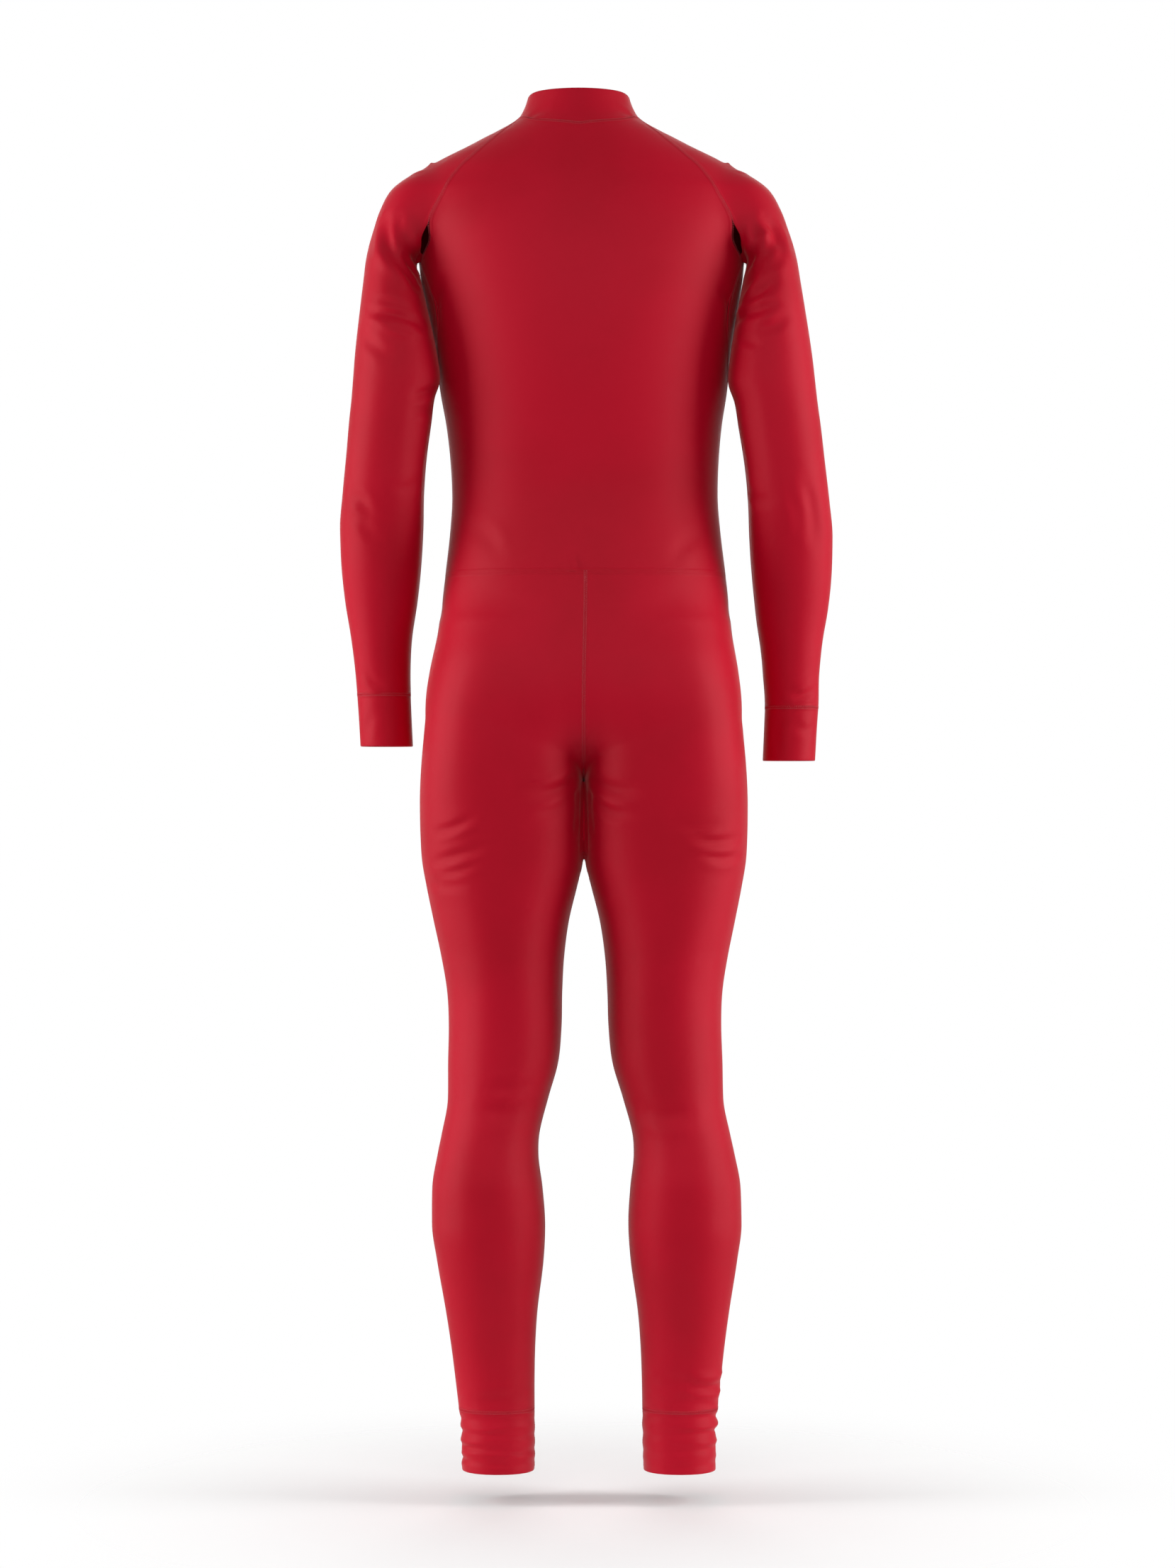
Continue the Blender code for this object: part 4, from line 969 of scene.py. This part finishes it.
# The seams: flat-locked edges, each a pair of needle rows with a looper thread crossing between
# them, in polyester thread of the cloth's colour.
STITCH, SEAM_HALF = 2.4, 1.5  # mm


def thread_bar(shape, path, radius):
    """A thread of four sides along a short path, mm."""
    path = np.array(path, float) * MM
    way = unit(np.gradient(path, axis=0))
    across = unit(np.cross(way, (0, 0, 1)))
    up = np.cross(across, way)
    rings = []
    for spot, a, u in zip(path, across, up):
        ring = [spot + corner * radius * MM for corner in (a, u, -a, -u)]
        rings.append([shape.verts.new(p) for p in ring])
    for one, two in zip(rings[:-1], rings[1:]):
        for i in range(4):
            shape.faces.new((one[i], one[(i + 1) % 4], two[(i + 1) % 4], two[i]))
    shape.faces.new(rings[0])
    shape.faces.new(rings[-1][::-1])


def unit_object(name, bars):
    """A hidden object that Geometry Nodes repeats."""
    shape = bmesh.new()
    for path, radius in bars:
        thread_bar(shape, path, radius)
    bmesh.ops.recalc_face_normals(shape, faces=shape.faces)
    mesh = bpy.data.meshes.new(name)
    shape.to_mesh(mesh)
    shape.free()
    mesh.shade_smooth()
    return bpy.data.objects.new(name, mesh)


def repeat_tree(name):
    """Geometry Nodes that set a unit along a line, its Z outwards and its X along the line."""
    tree = bpy.data.node_groups.new(name, "GeometryNodeTree")
    face = tree.interface
    face.new_socket("Line", in_out="INPUT", socket_type="NodeSocketGeometry")
    face.new_socket("Unit", in_out="INPUT", socket_type="NodeSocketObject")
    face.new_socket("Spacing", in_out="INPUT", socket_type="NodeSocketFloat")
    face.new_socket("Finish", in_out="INPUT", socket_type="NodeSocketMaterial")
    face.new_socket("Row", in_out="OUTPUT", socket_type="NodeSocketGeometry")
    new = tree.nodes.new
    given, result = new("NodeGroupInput"), new("NodeGroupOutput")
    curve = new("GeometryNodeMeshToCurve")
    even = new("GeometryNodeResampleCurve")
    even.mode = "LENGTH"
    out = new("GeometryNodeInputNamedAttribute")
    out.data_type = "FLOAT_VECTOR"
    out.inputs["Name"].default_value = "out"
    along = new("GeometryNodeInputTangent")
    facing = new("FunctionNodeAxesToRotation")
    facing.primary_axis, facing.secondary_axis = "Z", "X"
    shown = new("GeometryNodeObjectInfo")
    put = new("GeometryNodeInstanceOnPoints")
    real = new("GeometryNodeRealizeInstances")
    finish = new("GeometryNodeSetMaterial")
    link(tree, [
        (given.outputs["Line"], curve.inputs[0]),
        (curve.outputs[0], even.inputs["Curve"]),
        (given.outputs["Spacing"], even.inputs["Length"]),
        (even.outputs[0], put.inputs["Points"]),
        (given.outputs["Unit"], shown.inputs["Object"]),
        (shown.outputs["Geometry"], put.inputs["Instance"]),
        (out.outputs["Attribute"], facing.inputs["Primary Axis"]),
        (along.outputs[0], facing.inputs["Secondary Axis"]),
        (facing.outputs[0], put.inputs["Rotation"]),
        (put.outputs[0], real.inputs[0]),
        (real.outputs[0], finish.inputs["Geometry"]),
        (given.outputs["Finish"], finish.inputs["Material"]),
        (finish.outputs[0], result.inputs[0]),
    ])
    return tree


row_tree = repeat_tree("sewn_row")


def repeated(name, lines, sample, spacing, look):
    """A plain mesh of a unit repeated along lines of points, each with its outward ways."""
    points, edges, ways = [], [], []
    for line, out in lines:
        edges += [(len(points) + i, len(points) + i + 1) for i in range(len(line) - 1)]
        points += line.tolist()
        ways += unit(out).tolist()
    mesh = bpy.data.meshes.new(name)
    mesh.from_pydata(points, edges, [])
    mesh.attributes.new("out", "FLOAT_VECTOR", "POINT").data.foreach_set("vector", np.array(ways).ravel())
    guide = bpy.data.objects.new(name + "_guide", mesh)
    room.objects.link(guide)
    rows = guide.modifiers.new("row", "NODES")
    rows.node_group = row_tree
    named = {item.name: item.identifier for item in row_tree.interface.items_tree}
    rows[named["Unit"]] = sample
    rows[named["Spacing"]] = spacing
    rows[named["Finish"]] = look
    ready = guide.evaluated_get(bpy.context.evaluated_depsgraph_get())
    made = bpy.data.objects.new(name, bpy.data.meshes.new_from_object(ready))
    made.data.name = name
    bpy.data.objects.remove(guide)
    room.objects.link(made)
    return made


def thread_look(name, colour):
    """Twisted polyester thread: fine slanting plies, with painted shade between them, and a slight gloss.
    """
    made = bpy.data.materials.new(name)
    made.use_nodes = True
    tree = made.node_tree
    shader = tree.nodes["Principled BSDF"]
    shader.inputs["Roughness"].default_value = 0.5
    shader.inputs["Sheen Weight"].default_value = 0.25
    where = tree.nodes.new("ShaderNodeTexCoord")
    plies = tree.nodes.new("ShaderNodeTexWave")
    plies.bands_direction = "DIAGONAL"
    plies.inputs["Scale"].default_value = 1400
    bump = tree.nodes.new("ShaderNodeBump")
    bump.inputs["Strength"].default_value = 0.4
    bump.inputs["Distance"].default_value = 0.00005
    # painted shade between the plies: the colour darkens to 0.88 of itself where the ply relief is low
    tone = tree.nodes.new("ShaderNodeMix")
    tone.data_type = "RGBA"
    tone.inputs[6].default_value = (*(0.88 * c for c in colour), 1)
    tone.inputs[7].default_value = (*colour, 1)
    link(tree, [
        (where.outputs["Object"], plies.inputs["Vector"]),
        (plies.outputs["Fac"], bump.inputs["Height"]),
        (plies.outputs["Fac"], tone.inputs[0]),
        (tone.outputs[2], shader.inputs["Base Color"]),
        (bump.outputs[0], shader.inputs["Normal"]),
    ])
    return made


thread = thread_look("red_thread", (0.54, 0.003, 0.022))
half_stitch = STITCH / 2
flat_lock = unit_object("flat_lock", [
    (((-0.42 * STITCH, SEAM_HALF, -0.06), (0, SEAM_HALF, 0.1), (0.42 * STITCH, SEAM_HALF, -0.06)), 0.17),
    (((-0.42 * STITCH, -SEAM_HALF, -0.06), (0, -SEAM_HALF, 0.1), (0.42 * STITCH, -SEAM_HALF, -0.06)), 0.17),
    (((-half_stitch, -SEAM_HALF, 0), (-half_stitch / 2, 0, 0.08), (0, SEAM_HALF, 0)), 0.12),
    (((0, SEAM_HALF, 0), (half_stitch / 2, 0, 0.08), (half_stitch, -SEAM_HALF, 0)), 0.12),
])
STITCHED = {
    "stitches_raglan": ("raglan_back_left", "raglan_back_right", "raglan_front_left", "raglan_front_right"),
    "stitches_sides": ("side_left", "side_right", "centre_back", "centre_front"),
    "stitches_underarm": ("underarm_left", "underarm_right"),
    "stitches_inseam": ("inseam_left", "inseam_right", "band_left", "band_right"),
    "stitches_bands": ("cuff_left", "cuff_right", "ankle_left", "ankle_right"),
    "stitches_neck": ("neck_back", "neck_left", "neck_right"),
}
for name, seams in STITCHED.items():
    sewing = repeated(name, [seam_lines[seam] for seam in seams], flat_lock, STITCH * MM, thread)
    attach(sewing, "suit")

# The waist seam: sewn from inside, so only a fine sunk line shows, with a stitch now and then.
sunk = unit_object("sunk_stitch", [(((-0.5, 0, -0.25), (0, 0, -0.1), (0.5, 0, -0.25)), 0.16)])
lines = [seam_lines[seam] for seam in ("waist_back", "waist_front_left", "waist_front_right")]
waist = repeated("stitches_waist", lines, sunk, 1.9 * MM, thread)
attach(waist, "suit")

# The zip: two woven tapes behind the fronts, each with a nylon coil on its edge, closed up to the
# collar. The coil turns are moulded in one with their row.
TAPE_HALF, TAPE_THICK = 12 * MM, 0.9 * MM
COIL_PITCH, COIL_REACH = 1.3, 2.3  # mm
SPLIT = 0.15 * MM
behind = 3.1 * MM
heights = np.linspace(COLLAR_TOP[0][1] - 3, WAIST + 3, 160) * MM


def tape_look(name, colour):
    """A twill-woven tape: slanting ribs in a matt thread, with painted shade in the grooves between the
    ribs.
    """
    made = bpy.data.materials.new(name)
    made.use_nodes = True
    tree = made.node_tree
    shader = tree.nodes["Principled BSDF"]
    shader.inputs["Roughness"].default_value = 0.62
    shader.inputs["Sheen Weight"].default_value = 0.2
    where = tree.nodes.new("ShaderNodeTexCoord")
    ribs = tree.nodes.new("ShaderNodeTexWave")
    ribs.bands_direction = "DIAGONAL"
    ribs.inputs["Scale"].default_value = 320
    ribs.inputs["Distortion"].default_value = 0.6
    bump = tree.nodes.new("ShaderNodeBump")
    bump.inputs["Strength"].default_value = 0.5
    bump.inputs["Distance"].default_value = 0.0001
    # painted shade in the twill's grooves: the colour darkens to 0.6 of itself where the rib relief is low
    tone = tree.nodes.new("ShaderNodeMix")
    tone.data_type = "RGBA"
    tone.inputs[6].default_value = (*(0.6 * c for c in colour), 1)
    tone.inputs[7].default_value = (*colour, 1)
    link(tree, [
        (where.outputs["Object"], ribs.inputs["Vector"]),
        (ribs.outputs["Fac"], bump.inputs["Height"]),
        (ribs.outputs["Fac"], tone.inputs[0]),
        (tone.outputs[2], shader.inputs["Base Color"]),
        (bump.outputs[0], shader.inputs["Normal"]),
    ])
    return made


tape_weave = tape_look("zip_tape_weave", (0.42, 0.006, 0.024))
shape = bmesh.new()
for side in (-1, 1):
    across = np.array([SPLIT, 4 * MM, 8 * MM, TAPE_HALF]) * side
    grid = np.stack([centre_front(heights, x) for x in across], axis=1)
    out = outwards(grid)
    skins = np.array([grid - out * behind, grid - out * (behind + TAPE_THICK)])
    skins[..., 0] += column(LEAN, 1, skins[..., 2] / MM) * MM
    dots = [[[shape.verts.new(p) for p in row] for row in skin] for skin in skins]
    rows, columns = grid.shape[:2]
    for i in range(rows - 1):
        for j in range(columns - 1):
            for skin in dots:
                shape.faces.new((skin[i][j], skin[i][j + 1], skin[i + 1][j + 1], skin[i + 1][j]))
        for j in (0, columns - 1):
            shape.faces.new((dots[0][i][j], dots[0][i + 1][j], dots[1][i + 1][j], dots[1][i][j]))
    for i in (0, rows - 1):
        for j in range(columns - 1):
            shape.faces.new((dots[0][i][j], dots[0][i][j + 1], dots[1][i][j + 1], dots[1][i][j]))
bmesh.ops.recalc_face_normals(shape, faces=shape.faces)
mesh = bpy.data.meshes.new("zip_tapes")
shape.to_mesh(mesh)
shape.free()
mesh.materials.append(tape_weave)
tapes = bpy.data.objects.new("zip_tapes", mesh)
room.objects.link(tapes)
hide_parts("zip_tape")
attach(tapes, "suit")

SUNK = 1.5  # mm below the cloth's face
COIL_WIRE = 0.34  # mm
bars = []
for side, shift in ((1, 0), (-1, COIL_PITCH / 2)):
    turn = (
        (shift - 0.1, side * 0.1, -SUNK),
        (shift, -side * 0.5, -SUNK + 0.7),
        (shift, side * 0.9, -SUNK + 0.95),
        (shift, side * COIL_REACH, -SUNK + 0.3),
        (shift + 0.2, side * (COIL_REACH - 0.4), -SUNK - 0.3),
    )
    bars.append((turn, COIL_WIRE))
coil_turn = unit_object("coil_turn", bars)
line = centre_front(heights[1:-1])
out = outwards(line)
line[..., 0] += column(LEAN, 1, line[..., 2] / MM) * MM
nylon = thread_look("coil_nylon", (0.45, 0.005, 0.022))
coil = repeated("zip_coil", [(line, out)], coil_turn, COIL_PITCH * MM, nylon)
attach(coil, "suit")

# The slider and its pull: zinc castings in baked enamel of the suit's colour, with a painted highlight
# along their edges.
enamel = bpy.data.materials.new("slider_enamel")
enamel.use_nodes = True
tree = enamel.node_tree
shader = tree.nodes["Principled BSDF"]
shader.inputs["Metallic"].default_value = 0.15
shader.inputs["Coat Weight"].default_value = 0.5
where = tree.nodes.new("ShaderNodeTexCoord")
specks = tree.nodes.new("ShaderNodeTexNoise")
specks.inputs["Scale"].default_value = 1500
edges = tree.nodes.new("ShaderNodeNewGeometry")
# painted highlight along sharp edges: where pointiness is high the colour turns a lighter, paler red
edge_highlight = tree.nodes.new("ShaderNodeMapRange")
edge_highlight.inputs["From Min"].default_value = 0.53
edge_highlight.inputs["From Max"].default_value = 0.6
tone = tree.nodes.new("ShaderNodeMix")
tone.data_type = "RGBA"
tone.inputs[6].default_value = (0.40, 0.004, 0.02, 1)
tone.inputs[7].default_value = (0.62, 0.20, 0.19, 1)
rough = tree.nodes.new("ShaderNodeMapRange")
rough.inputs["To Min"].default_value = 0.24
rough.inputs["To Max"].default_value = 0.42
bump = tree.nodes.new("ShaderNodeBump")
bump.inputs["Strength"].default_value = 0.15
bump.inputs["Distance"].default_value = 0.0001
link(tree, [
    (where.outputs["Object"], specks.inputs["Vector"]),
    (edges.outputs["Pointiness"], edge_highlight.inputs["Value"]),
    (edge_highlight.outputs["Result"], tone.inputs[0]),
    (tone.outputs[2], shader.inputs["Base Color"]),
    (specks.outputs["Fac"], rough.inputs["Value"]),
    (rough.outputs["Result"], shader.inputs["Roughness"]),
    (specks.outputs["Fac"], bump.inputs["Height"]),
    (bump.outputs[0], shader.inputs["Normal"]),
])
for node in ("zip_slider", "zip_pull"):
    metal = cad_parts[node]
    metal.data.materials.clear()
    metal.data.materials.append(enamel)
